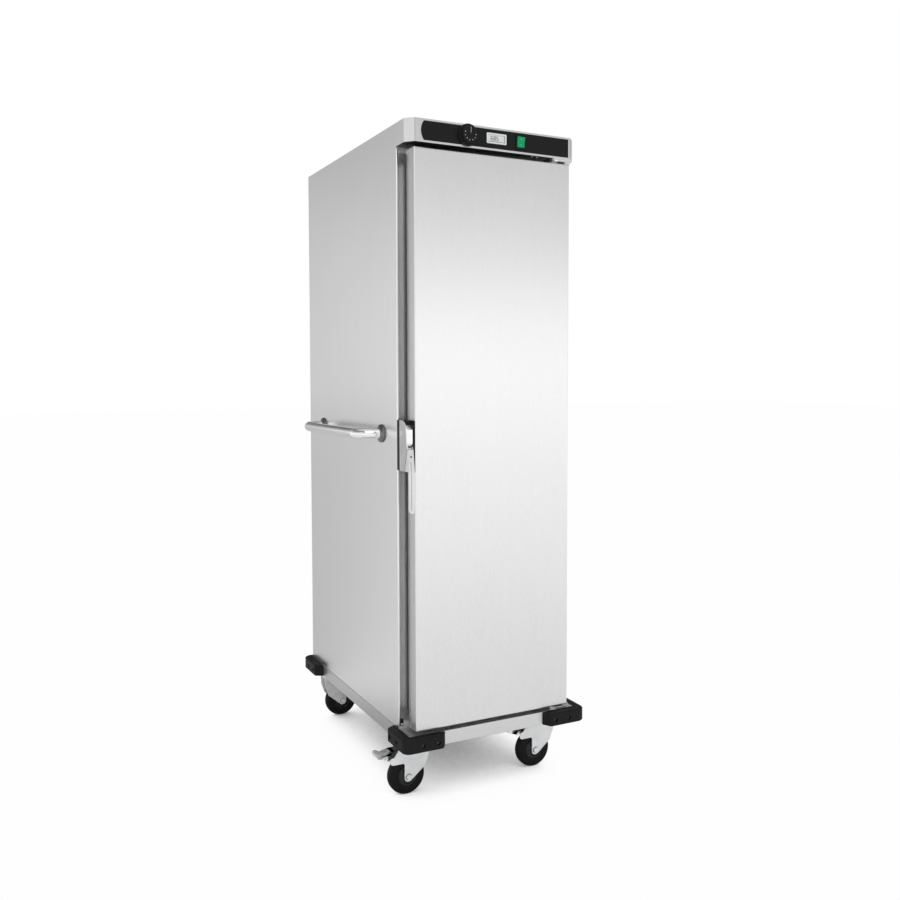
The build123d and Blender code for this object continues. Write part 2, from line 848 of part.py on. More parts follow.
def power_inlet():
    """A recessed appliance inlet with three flat pins."""
    back = cabinet_d - sheet
    front = back - inlet_body_d
    body_w = inlet_w / 2 - inlet_flange * 2 - seat_gap
    body_h = inlet_h / 2 - inlet_flange - seat_gap
    face = back + inlet_flange
    inlet = block(inlet_x - body_w, inlet_x + body_w, front, back, inlet_z - body_h, inlet_z + body_h)
    inlet += block(inlet_x - inlet_w / 2, inlet_x + inlet_w / 2, back, face, inlet_z - inlet_h / 2, inlet_z + inlet_h / 2)
    half_mouth_w = inlet_mouth_w / 2
    half_mouth_h = inlet_mouth_h / 2
    floor = face - inlet_mouth_d
    inlet -= block(
        inlet_x - half_mouth_w, inlet_x + half_mouth_w, floor, face, inlet_z - half_mouth_h, inlet_z + half_mouth_h
    )
    for across in (-1, 0, 1):
        pin = Pos(inlet_x + across * inlet_pin_pitch, floor + inlet_pin_len / 2, inlet_z)
        rise = inlet_pin_rise if across == 0 else -inlet_pin_rise
        inlet += pin * Pos(0, 0, rise) * Box(inlet_pin_w, inlet_pin_len, inlet_pin_h)
    return inlet


# Control head
def head_outline(inset):
    """The head's outline from above, drawn in by an inset, open towards the cabinet."""
    # A 45 degree corner moves by this share of the inset along each side.
    corner = inset * math.tan(math.radians(22.5))
    x = half_w - inset
    y = head_front + inset
    return [
        (-x, 0),
        (-x, head_front + head_chamfer_y + corner),
        (-half_w + head_chamfer_x + corner, y),
        (half_w - head_chamfer_x - corner, y),
        (x, head_front + head_chamfer_y + corner),
        (x, 0),
    ]


def control_housing():
    shell = plan_profile(head_outline(0), head_z, cabinet_top)
    shell -= plan_profile(head_outline(sheet), head_z + sheet, cabinet_top - sheet)
    return shell - control_cuts(head_front, head_front + sheet)


def control_cuts(y0, y1):
    """The openings for the thermostat's shaft, the thermometer and the switch."""
    cuts = rod_y(knob_x, y0, y1, control_z, shaft_hole_r)
    gauge_w_in = gauge_w / 2 - gauge_body_margin
    gauge_h_in = gauge_h / 2 - gauge_body_margin
    cuts += block(gauge_x - gauge_w_in, gauge_x + gauge_w_in, y0, y1, control_z - gauge_h_in, control_z + gauge_h_in)
    switch_w_in = switch_w / 2 - switch_proud
    switch_h_in = switch_h / 2 - switch_proud
    cuts += block(
        switch_x - switch_w_in, switch_x + switch_w_in, y0, y1, control_z - switch_h_in, control_z + switch_h_in
    )
    return cuts


def control_fascia():
    """A thin black plate with a bowed left end."""
    y = head_front
    middle = (fascia_low + fascia_high) / 2
    bow = ThreePointArc(
        (-fascia_left, y, fascia_high),
        (-fascia_left - fascia_bulge, y, middle),
        (-fascia_left, y, fascia_low),
    )
    sides = Polyline(
        (-fascia_left, y, fascia_low),
        (fascia_right, y, fascia_low),
        (fascia_right, y, fascia_high),
        (-fascia_left, y, fascia_high),
    )
    plate = extrude(make_face(bow + sides), amount=fascia_t, dir=(0, -1, 0))
    return plate - control_cuts(fascia_front, head_front)


def thermostat_body():
    """The control behind the knob, screwed to the inside of the head."""
    front = head_front + sheet
    half = thermostat_w / 2
    high = thermostat_h / 2
    body = block(knob_x - half, knob_x + half, front, front + thermostat_d, control_z - high, control_z + high)
    return body - rod_y(knob_x, front, front + thermostat_d / 2, control_z, shaft_r + run_gap)


def thermostat_knob():
    """A skirted knob, with its shaft, turned around the Y axis."""
    back = fascia_front - seat_gap
    skirt = back - knob_skirt
    front = back - knob_h
    tip = head_front + sheet + thermostat_d / 2 - seat_gap
    outline = Polyline(
        (0, front),
        (knob_grip_r - knob_edge, front),
        (knob_grip_r, front + knob_edge),
        (knob_grip_r + knob_edge, skirt),
        (knob_r, skirt),
        (knob_r, back),
        (shaft_r, back),
        (shaft_r, tip),
        (0, tip),
        close=True,
    )
    return Pos(knob_x, 0, control_z) * revolve(make_face(outline), axis=Axis.Y)


def thermometer_case():
    front = fascia_front - gauge_proud
    half = gauge_w / 2
    high = gauge_h / 2
    case = block(gauge_x - half, gauge_x + half, front, fascia_front, control_z - high, control_z + high)
    case = fillet(case.edges().filter_by(Axis.Y), gauge_corner)
    body_w = half - gauge_body_margin - seat_gap
    body_h = high - gauge_body_margin - seat_gap
    case += block(
        gauge_x - body_w, gauge_x + body_w, fascia_front, fascia_front + gauge_depth, control_z - body_h, control_z + body_h
    )
    return case - gauge_window(0, front, front + window_sunk + window_t)


def gauge_window(gap, y0, y1):
    """The window's block, drawn in by a gap on each side."""
    half = gauge_w / 2 - gauge_frame - gap
    high = gauge_h / 2 - gauge_frame - gap
    return block(gauge_x - half, gauge_x + half, y0, y1, control_z - high, control_z + high)


def thermometer_window():
    front = fascia_front - gauge_proud
    return gauge_window(run_gap, front + window_sunk, front + window_sunk + window_t)


def switch_case():
    """A bezel with a deep well that the rocker turns in."""
    front = fascia_front - switch_proud
    half = switch_w / 2
    high = switch_h / 2
    case = block(switch_x - half, switch_x + half, front, fascia_front, control_z - high, control_z + high)
    body_w = half - switch_proud - seat_gap
    body_h = high - switch_proud - seat_gap
    back = fascia_front + switch_depth
    case += block(switch_x - body_w, switch_x + body_w, fascia_front, back, control_z - body_h, control_z + body_h)
    well_w = rocker_w / 2 + rocker_gap
    well_h = rocker_r + rocker_gap
    floor = rocker_axis_y() + rocker_r + rocker_gap
    case -= block(switch_x - well_w, switch_x + well_w, front, floor, control_z - well_h, control_z + well_h)
    pin = rocker_w / 2 + rocker_pin_len
    return case - rod_x(switch_x - pin, switch_x + pin, rocker_axis_y(), control_z, rocker_pin_r + run_gap)


def rocker_axis_y():
    return fascia_front + rocker_proud


def switch_rocker():
    """A rocker whose ends are round about its pin and whose face dips in the middle, shown switched on."""
    y = rocker_axis_y()
    front = fascia_front - switch_proud - rocker_proud / 2
    half = rocker_w / 2
    round_ends = rod_x(-half, half, y, control_z, rocker_r)
    keep = side_profile(
        [
            (front, control_z - rocker_r),
            (front + rocker_dip, control_z),
            (front, control_z + rocker_r),
            (front + rocker_depth, control_z + rocker_r),
            (front + rocker_depth, control_z - rocker_r),
        ],
        -half,
        half,
    )
    pin = half + rocker_pin_len - rocker_gap
    body = (round_ends & keep) + rod_x(-pin, pin, y, control_z, rocker_pin_r)
    turn = Pos(0, y, control_z) * Rot(rocker_tilt, 0, 0) * Pos(0, -y, -control_z)
    return Pos(switch_x, 0, 0) * turn * body


# Door
def door_skin():
    """The outer pan: a front sheet with its four edges folded back."""
    pan = block(-door_half, door_half, -door_front, -door_back, door_low, door_high)
    pan = fillet(pan.edges().filter_by(Axis.Z).group_by(Axis.Y)[0], door_edge_r)
    inner = door_half - sheet
    pan -= block(-inner, inner, -door_front + sheet, -door_back, door_low + sheet, door_high - sheet)
    for z0, z1 in bush_walls():
        pan -= rod_z(hinge_x, -hinge_y, z0, z1, bush_r + run_gap)
    return pan


def bush_walls():
    """The two edge folds that the hinge bushes pass through."""
    return [(door_low, door_low + sheet), (door_high - sheet, door_high)]


def door_inner_pan():
    """The inner sheet, drawn out into a plug that fills the cabinet's recess."""
    flange = door_half - sheet - seat_gap
    low = door_low + sheet + seat_gap
    high = door_high - sheet - seat_gap
    pan = block(-flange, flange, -door_back - sheet, -door_back, low, high)
    pan += rounded_slab(plug_half, plug_low, plug_high, -door_back, plug_depth, plug_corner)
    inner = plug_half - sheet
    return pan - block(-inner, inner, -door_back - sheet, plug_depth - sheet, plug_low + sheet, plug_high - sheet)


def door_core():
    """The insulating core that fills both pans, bored for the hinge bushes."""
    half = door_half - sheet - seat_gap
    low = door_low + sheet + seat_gap
    high = door_high - sheet - seat_gap
    core = block(-half, half, -door_front + sheet + seat_gap, -door_back - sheet - seat_gap, low, high)
    inner = plug_half - sheet - plug_corner
    back = plug_depth - sheet - seat_gap
    start = -door_back - sheet - seat_gap
    core += block(-inner, inner, start, back, plug_low + plug_corner, plug_high - plug_corner)
    core -= rod_z(hinge_x, -hinge_y, low, door_low + bush_len + seat_gap, bush_r + seat_gap)
    return core - rod_z(hinge_x, -hinge_y, door_high - bush_len - seat_gap, high, bush_r + seat_gap)


def door_seal():
    """The rubber seal around the plug's face."""
    ring = rounded_slab(plug_half, plug_low, plug_high, plug_depth, seal_back, plug_corner)
    inner = plug_half - seal_w
    return ring - rounded_slab(inner, plug_low + seal_w, plug_high - seal_w, plug_depth, seal_back, plug_corner / 2)


def hinge_bushes():
    """Two flanged bushes that line the door's hinge bores and bear on the brackets."""
    low_face = base_top + bracket_t + seat_gap
    high_face = head_z - bracket_t - seat_gap
    bottom = rod_z(hinge_x, -hinge_y, door_low, door_low + bush_len, bush_r)
    bottom += rod_z(hinge_x, -hinge_y, low_face, door_low, bush_flange_r)
    bottom -= rod_z(hinge_x, -hinge_y, low_face, door_low + bush_len, hinge_pin_r + run_gap)
    top = rod_z(hinge_x, -hinge_y, door_high - bush_len, door_high, bush_r)
    top += rod_z(hinge_x, -hinge_y, door_high, high_face, bush_flange_r)
    top -= rod_z(hinge_x, -hinge_y, door_high - bush_len, high_face, hinge_pin_r + run_gap)
    return Compound([bottom.solids()[0], top.solids()[0]])


def hinge_bracket(z0, z1, pin_end):
    """A rounded plate fixed to the cabinet, with the pin that the door turns on."""
    plate = block(bracket_x0, bracket_x1, -bracket_y0, -bracket_y1, z0, z1)
    fronts = plate.edges().filter_by(Axis.Z).group_by(Axis.Y)[0]
    plate = fillet(fronts, bracket_round)
    return plate + rod_z(hinge_x, -hinge_y, min(z0, pin_end), max(z1, pin_end), hinge_pin_r)


# Latch: a magnet that the lever draws back from a steel strike on the cabinet
def latch_outline():
    """The latch body seen from the side: a round top, a tall cover and a slope behind the lever."""
    back = -latch_back
    front = -latch_cover_front
    return [
        (back, latch_low),
        (-latch_slope_back, latch_low),
        (-latch_slope_front, lever_top + seat_gap),
        (-latch_slope_front, latch_cover_low),
        (front, latch_cover_low),
        (front, latch_body_high),
        (back, latch_body_high),
    ]


def latch_housing():
    """The cover over the latch, hollow behind the lever, with a lug that carries the lever's pin."""
    body = side_profile(latch_outline(), -latch_out, -latch_in)
    crown = body.edges().filter_by(Axis.X).group_by(Axis.Z)[-1].sort_by(Axis.Y)[0]
    body = fillet(crown, latch_round)
    inner_out = -latch_out + latch_cheek
    inner_in = -latch_in - latch_cheek
    body -= block(inner_out, inner_in, -latch_slope_front, -latch_back - latch_cheek, latch_low, latch_hollow_high)
    middle = -(latch_out + latch_in) / 2
    lug = block(middle - lug_w / 2, middle + lug_w / 2, -lever_pivot_y, -latch_back, lever_pivot_z - lug_r, lever_pivot_z + lug_r)
    lug += rod_x(middle - lug_w / 2, middle + lug_w / 2, -lever_pivot_y, lever_pivot_z, lug_r)
    guide = magnet_h / 2 + latch_cheek
    body += block(inner_out, inner_in, -latch_back - magnet_guide(), -latch_back, magnet_z - guide, magnet_z + guide)
    body += lug
    body -= magnet_block(run_gap, -latch_back - magnet_guide(), -latch_back)
    return body - rod_x(-latch_out, -latch_in, -lever_pivot_y, lever_pivot_z, lever_pin_r + run_gap)


def magnet_guide():
    """The depth of the collar that the magnet slides in."""
    return magnet_travel * 2


def magnet_block(gap, y0, y1):
    """The magnet's bar between two depths, wider than itself by a gap on each side."""
    middle = -(latch_out + latch_in) / 2
    half = magnet_w / 2 + gap
    high = magnet_h / 2 + gap
    return block(middle - half, middle + half, y0, y1, magnet_z - high, magnet_z + high)


def latch_magnet():
    """The magnet bar, which the lever draws back through its collar."""
    return magnet_block(0, -latch_back - magnet_guide() - magnet_travel, -strike_out - seat_gap)


def latch_pad():
    """The black pad between the latch and the door's edge."""
    return block(-latch_in, -door_half, -door_front + seat_gap, -latch_back, latch_low, latch_pad_high)


def lever_front(z):
    """The Y of the lever's front face at a height between its top and the blade's root."""
    share = (lever_top - z) / (lever_top - latch_low)
    return -lever_front_top - share * (lever_front_low - lever_front_top)


def latch_lever():
    """A channel section lever over the latch, which thins to a long ridged blade."""
    outer = -latch_out
    inner = -latch_in - seat_gap
    slope = [
        (-latch_slope_front - seat_gap, lever_top),
        (-lever_front_top, lever_top),
        (-lever_front_low, latch_low),
        (-latch_slope_back - seat_gap, latch_low),
    ]
    hollow = [
        (-latch_slope_back, lever_top - lever_wall),
        (lever_front(lever_top) + lever_wall, lever_top - lever_wall),
        (lever_front(latch_low) + lever_wall, latch_low),
        (-latch_slope_back, latch_low),
    ]
    lever = side_profile(slope, outer, inner)
    lever -= side_profile(hollow, outer + latch_cheek, inner - latch_cheek)
    middle = -(latch_out + latch_in) / 2
    clear = (latch_out - latch_in) / 2 - latch_cheek - seat_gap
    ear_low_z = lever_pivot_z - lug_r
    wall_y = lever_front(ear_low_z) + lever_wall / 2
    ears = block(middle - clear, middle + clear, wall_y, -lever_pivot_y, ear_low_z, lever_top)
    ears += rod_x(middle - clear, middle + clear, -lever_pivot_y, lever_pivot_z, lug_r)
    slot = lug_w / 2 + seat_gap
    slot_front = lever_front(ear_low_z) + lever_wall
    ears -= block(
        middle - slot,
        middle + slot,
        slot_front,
        slot_front + lug_slot,
        lever_pivot_z - lug_slot,
        lever_pivot_z + lug_slot,
    )
    lever += ears
    pin = (latch_out - latch_in) / 2 - latch_cheek / 2
    lever += rod_x(middle - pin, middle + pin, -lever_pivot_y, lever_pivot_z, lever_pin_r)
    return lever + lever_blade()


def lever_blade():
    """The lever's long blade, with a ridge down its middle and a round tip."""
    middle = -(latch_out + door_half + latch_pad_t / 2) / 2
    half = lever_blade_w / 2
    front = -lever_front_low
    back = front + lever_blade_t
    ridge = front - lever_blade_t / 3
    section = [(middle - half, back), (middle - half, front), (middle, ridge), (middle + half, front), (middle + half, back)]
    blade = plan_profile(section, lever_tip, latch_low)
    keep = block(middle - half, middle + half, ridge, back, lever_tip + half, latch_low)
    return blade & (keep + rod_y(middle, ridge, back, lever_tip + half, half))


def latch_strike():
    """The black block on the cabinet's rim that holds the strike plate."""
    inner = -latch_in + latch_pad_t / 2
    return block(-latch_out, inner, -strike_out + strike_plate_t, 0, latch_low, latch_pad_high)


def strike_plate():
    """The steel keeper that the magnet holds."""
    inner = -latch_in + latch_pad_t / 2
    return block(-latch_out, inner, -strike_out, -strike_out + strike_plate_t, latch_low, latch_pad_high)


# Side handle
def handle_tube():
    x = -handle_axis_x
    path = FilletPolyline(
        (-half_w, handle_front_y, handle_z),
        (x, handle_front_y, handle_z),
        (x, handle_rear_y, handle_z),
        (-half_w, handle_rear_y, handle_z),
        radius=handle_bend,
    )
    return sweep(Plane(origin=path @ 0, z_dir=path % 0) * Circle(handle_r), path=path)


def handle_flanges():
    """Two rings around the handle's feet."""
    rings = []
    for y in (handle_front_y, handle_rear_y):
        ring = rod_x(-half_w - flange_t, -half_w, y, handle_z, flange_r)
        ring -= rod_x(-half_w - flange_t, -half_w, y, handle_z, handle_r + run_gap)
        rings.append(ring.solids()[0])
    return Compound(rings)


def handle_bolts():
    """The heads of the two bolts that hold the handle, inside the side panel."""
    heads = []
    for y in (handle_front_y, handle_rear_y):
        seat = Plane(origin=(-half_w + sheet, y, handle_z), x_dir=(0, 1, 0), z_dir=(1, 0, 0))
        heads.append(hex_bar(seat, handle_bolt_af, handle_bolt_t))
    return Compound(heads)


parts["base_frame"] = base_frame()
parts["caster_plates"] = caster_plates()
parts["caster_bolts"] = caster_bolts()
parts["bumper_screws"] = bumper_screws()
for side, side_name in ((-1, "left"), (1, "right")):
    parts["side_panel_" + side_name] = side_panel(side)
    parts["tray_rack_" + side_name] = tray_rack(side)
    for end, end_name in ((-1, "front"), (1, "rear")):
        parts["bumper_" + end_name + "_" + side_name] = bumper(side, end)
for place in caster_places:
    ear = place in braked
    parts["caster_fork_" + place] = place_caster_piece(caster_fork(ear), place)
    parts["caster_hub_" + place] = axle_place(place) * caster_hub()
    parts["caster_tyre_" + place] = axle_place(place) * caster_tyre()
    if ear:
        parts["caster_brake_" + place] = place_caster_piece(caster_brake(), place)
parts["roof_panel"] = roof_panel()
parts["back_panel"] = back_panel()
parts["front_frame"] = front_frame()
parts["inner_liner"] = inner_liner()
parts["insulation"] = insulation()
parts["fan_baffle"] = fan_baffle()
parts["fan_wheel"] = fan_wheel()
parts["fan_motor"] = fan_motor()
parts["heater_element"] = heater_element()
parts["power_inlet"] = power_inlet()
parts["control_housing"] = control_housing()
parts["control_fascia"] = control_fascia()
parts["thermostat_body"] = thermostat_body()
parts["thermostat_knob"] = thermostat_knob()
parts["thermometer_case"] = thermometer_case()
parts["thermometer_window"] = thermometer_window()
parts["switch_case"] = switch_case()
parts["switch_rocker"] = switch_rocker()
parts["door_skin"] = door_skin()
parts["door_inner_pan"] = door_inner_pan()
parts["door_core"] = door_core()
parts["door_seal"] = door_seal()
parts["hinge_bushes"] = hinge_bushes()
top_plate_low = head_z - bracket_t
parts["hinge_bracket_top"] = hinge_bracket(top_plate_low, head_z, door_high - hinge_pin_len)
parts["hinge_bracket_bottom"] = hinge_bracket(base_top, base_top + bracket_t, door_low + hinge_pin_len)
parts["latch_housing"] = latch_housing()
parts["latch_magnet"] = latch_magnet()
parts["latch_pad"] = latch_pad()
parts["latch_lever"] = latch_lever()
parts["latch_strike"] = latch_strike()
parts["strike_plate"] = strike_plate()
parts["handle_tube"] = handle_tube()
parts["handle_flanges"] = handle_flanges()
parts["handle_bolts"] = handle_bolts()

os.makedirs("parts", exist_ok=True)
for name, shape in parts.items():
    export_step(Pos(-origin_x, -origin_y, 0) * shape, "parts/" + name + ".step")
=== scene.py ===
import json
import math

import bmesh
import bpy
import numpy as np
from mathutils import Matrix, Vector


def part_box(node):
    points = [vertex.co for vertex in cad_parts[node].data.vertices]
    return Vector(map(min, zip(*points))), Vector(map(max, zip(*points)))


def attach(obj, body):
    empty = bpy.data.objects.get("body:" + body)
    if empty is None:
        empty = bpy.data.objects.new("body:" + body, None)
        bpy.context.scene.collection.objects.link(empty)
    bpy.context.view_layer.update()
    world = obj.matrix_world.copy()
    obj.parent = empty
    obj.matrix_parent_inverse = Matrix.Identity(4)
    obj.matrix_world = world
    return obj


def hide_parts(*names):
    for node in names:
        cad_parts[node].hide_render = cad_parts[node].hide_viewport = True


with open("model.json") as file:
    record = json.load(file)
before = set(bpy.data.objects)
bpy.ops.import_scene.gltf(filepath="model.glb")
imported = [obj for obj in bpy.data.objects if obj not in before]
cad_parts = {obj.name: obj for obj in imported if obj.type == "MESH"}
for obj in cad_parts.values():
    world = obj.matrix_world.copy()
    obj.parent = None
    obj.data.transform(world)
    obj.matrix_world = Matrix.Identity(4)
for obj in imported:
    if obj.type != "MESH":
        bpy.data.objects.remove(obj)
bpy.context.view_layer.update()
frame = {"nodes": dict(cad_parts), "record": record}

# Sizes are millimetres from the cabinet's middle (X), its front rim (Y) and the floor (Z).
# The frame's origin is the middle of the footprint, so a point moves by this much on the way.
SHIFT = np.array([24.75, -316.0, 0.0])

record = frame["record"]
slot_of_node = {part["node"]: part["material_slot"] for part in record["subparts"]}
body_of_node = {
    node: body for body, nodes in record["behaviour"]["bodies"].items() for node in nodes
}


def box_of(node):
    """A node's lowest and highest corner, in mm from the cabinet's middle, front rim and floor."""
    return np.array(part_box(node)) * 1000 - SHIFT


def middle_of(node):
    """The middle of a node's box."""
    return box_of(node).mean(axis=0)


# The cabinet's outer faces, the top of its base, and the head over the door
left, _, base_top = box_of("side_panel_left")[0]
right, back, top = box_of("side_panel_right")[1]
head_low, head_high = box_of("control_housing")
head_chamfer_x = 21.0
head_chamfer_y = 22.0

# Side handle
handle_out = left - 60.0
handle_near = 103.0
handle_far = 571.0
handle_z = 950.0
handle_bend = 45.0
tube_r = 14.0
flange_r = 24.5

# Casters
caster_corners = ("front_left", "front_right", "rear_left", "rear_right")
swivel_x = {"front_left": -195.5, "front_right": 195.5}
brake_split = 75.0
washer_place = 21.0

# Latch
cover_foot = 923.5
brow_low = 977.5
brow_line_high = 975.5
brow_line_low = 973.5
lever_x = -241.6
lever_ridge_x = -242.8


# Shader nodes
def wired(tree, node, **inputs):
    """Sets a node's inputs, by name or by i and a number, to numbers, colours or other sockets."""
    for label, value in inputs.items():
        by_number = label[0] == "i" and label[1:].isdigit()
        socket = node.inputs[int(label[1:]) if by_number else label.replace("_", " ")]
        if isinstance(value, bpy.types.NodeSocket):
            tree.links.new(value, socket)
        else:
            socket.default_value = value
    return node


def new_node(tree, kind, **inputs):
    """A node of a kind, with its inputs set."""
    return wired(tree, tree.nodes.new(kind), **inputs)


def arithmetic(tree, operation, first, second):
    """A Math node over two sockets or numbers."""
    node = new_node(tree, "ShaderNodeMath", i0=first, i1=second)
    node.operation = operation
    return node.outputs[0]


def colour_mix(tree, share, first, second, blend="MIX"):
    """Two colours, mixed by a share."""
    mix = tree.nodes.new("ShaderNodeMix")
    mix.data_type = "RGBA"
    mix.blend_type = blend
    return wired(tree, mix, i0=share, i6=first, i7=second).outputs[2]


def noise(tree, place, scale, detail=3.0, roughness=0.5):
    """A Noise Texture, with its scale in features per metre."""
    inputs = {"Vector": place, "Scale": scale, "Detail": detail, "Roughness": roughness}
    return new_node(tree, "ShaderNodeTexNoise", **inputs).outputs["Fac"]


def drawn_out(tree, place, share):
    """The place with its Z scaled by a share, so that a pattern read there runs in lines along Z."""
    return new_node(tree, "ShaderNodeMapping", Vector=place, Scale=(1.0, 1.0, share)).outputs["Vector"]


# Node groups: the two effects that the finishes are made from
def new_group(name, settings):
    """A node group that takes a place and its settings, and gives a roughness, a height and a tone."""
    group = bpy.data.node_groups.new(name, "ShaderNodeTree")
    group.interface.new_socket("Place", in_out="INPUT", socket_type="NodeSocketVector")
    for label, value in settings.items():
        socket = group.interface.new_socket(label, in_out="INPUT", socket_type="NodeSocketFloat")
        socket.default_value = value
    for label in ("Roughness", "Height", "Tone"):
        group.interface.new_socket(label, in_out="OUTPUT", socket_type="NodeSocketFloat")
    return group, group.nodes.new("NodeGroupInput"), group.nodes.new("NodeGroupOutput")


def give_pattern(group, given, result, pattern, height, darkest, contrast):
    """Sets a group's outputs from a pattern of about one half.

    The roughness is the one given, plus the pattern's distance from one half times the variation.
    The tone is the darkest share of the colour, plus the pattern times a contrast.
    """
    lean = arithmetic(group, "SUBTRACT", pattern, 0.5)
    swing = arithmetic(group, "MULTIPLY", lean, given.outputs["Variation"])
    roughness = arithmetic(group, "ADD", given.outputs["Roughness"], swing)
    tone = arithmetic(group, "ADD", arithmetic(group, "MULTIPLY", pattern, contrast), darkest)
    wired(group, result, Roughness=roughness, Height=height, Tone=tone)


def brushing_group():
    """Brushed sheet: fine lines along Z, wider bands where the belt pressed harder, and faint smears."""
    group, given, result = new_group("brushing", {"Roughness": 0.3, "Variation": 0.1})
    place = given.outputs["Place"]
    lines = noise(group, drawn_out(group, place, 0.012), 2600.0, 2.0)
    bands = noise(group, drawn_out(group, place, 0.05), 60.0)
    smears = noise(group, place, 5.0, 4.0, 0.6)
    pattern = arithmetic(group, "MULTIPLY", lines, 0.55)
    for layer, weight in ((bands, 0.25), (smears, 0.2)):
        pattern = arithmetic(group, "ADD", pattern, arithmetic(group, "MULTIPLY", layer, weight))
    give_pattern(group, given, result, pattern, lines, 0.92, 0.16)
    return group


def casting_group():
    """Plating or a mould's skin: coarse clouds for its wear, and a fine pebble for its relief."""
    settings = {"Roughness": 0.5, "Variation": 0.15, "Pebble": 1800.0}
    group, given, result = new_group("casting", settings)
    place = given.outputs["Place"]
    clouds = noise(group, place, 38.0, 5.0, 0.6)
    pebble = noise(group, place, given.outputs["Pebble"], 2.0)
    give_pattern(group, given, result, clouds, pebble, 0.85, 0.3)
    return group


brushing = brushing_group()
casting = casting_group()


# Finishes
def finish(name, effect, colour, metallic, bump, depth, settings, turn=(0, 0, 0), **sockets):
    """A Principled material whose tone, roughness and relief come from one of the groups above.

    The depth is the relief's, in metres, and the turn lays the pattern along another axis.
    """
    made = bpy.data.materials.new(name)
    made.use_nodes = True
    tree = made.node_tree
    here = tree.nodes.new("ShaderNodeTexCoord").outputs["Object"]
    place = new_node(tree, "ShaderNodeMapping", Vector=here, Rotation=turn).outputs["Vector"]
    pattern = tree.nodes.new("ShaderNodeGroup")
    pattern.node_tree = effect
    wired(tree, pattern, Place=place, **settings)
    shade = colour_mix(tree, 1.0, (*colour, 1.0), pattern.outputs["Tone"], "MULTIPLY")
    height = pattern.outputs["Height"]
    relief = new_node(tree, "ShaderNodeBump", Height=height, Strength=bump, Distance=depth)
    shader = tree.nodes["Principled BSDF"]
    wired(tree, shader, Base_Color=shade, Roughness=pattern.outputs["Roughness"])
    wired(tree, shader, Normal=relief.outputs["Normal"], Metallic=metallic, **sockets)
    return made


def grey(level, tint=0.0):
    """A grey whose blue is lifted by a tint."""
    return (level, level, level + tint)


def steel(name, level, roughness, variation=0.10, turn=(0, 0, 0)):
    """Brushed sheet. The brush ran along Z unless the pattern is turned."""
    settings = {"Roughness": roughness, "Variation": variation}
    return finish(name, brushing, grey(level), 1.0, 0.05, 0.0001, settings, turn)


def plating(name, colour, roughness, variation=0.12, bump=0.05, pebble=900.0, metallic=1.0):
    """A plated or cast metal."""
    settings = {"Roughness": roughness, "Variation": variation, "Pebble": pebble}
    return finish(name, casting, colour, metallic, bump, 0.0002, settings)


def moulding(name, colour, roughness, bump=0.25, pebble=2400.0, **sockets):
    """A moulded or painted part, or a print on one."""
    settings = {"Roughness": roughness, "Variation": 0.14, "Pebble": pebble}
    return finish(name, casting, colour, 0.0, bump, 0.0001, settings, **sockets)


def black_moulding(name, level, roughness, bump=0.3, pebble=1800.0, gloss=0.16):
    """A matte black part. The level is its share of light given back."""
    colour = grey(level, level * 0.04)
    return moulding(name, colour, roughness, bump, pebble, Specular_IOR_Level=gloss)


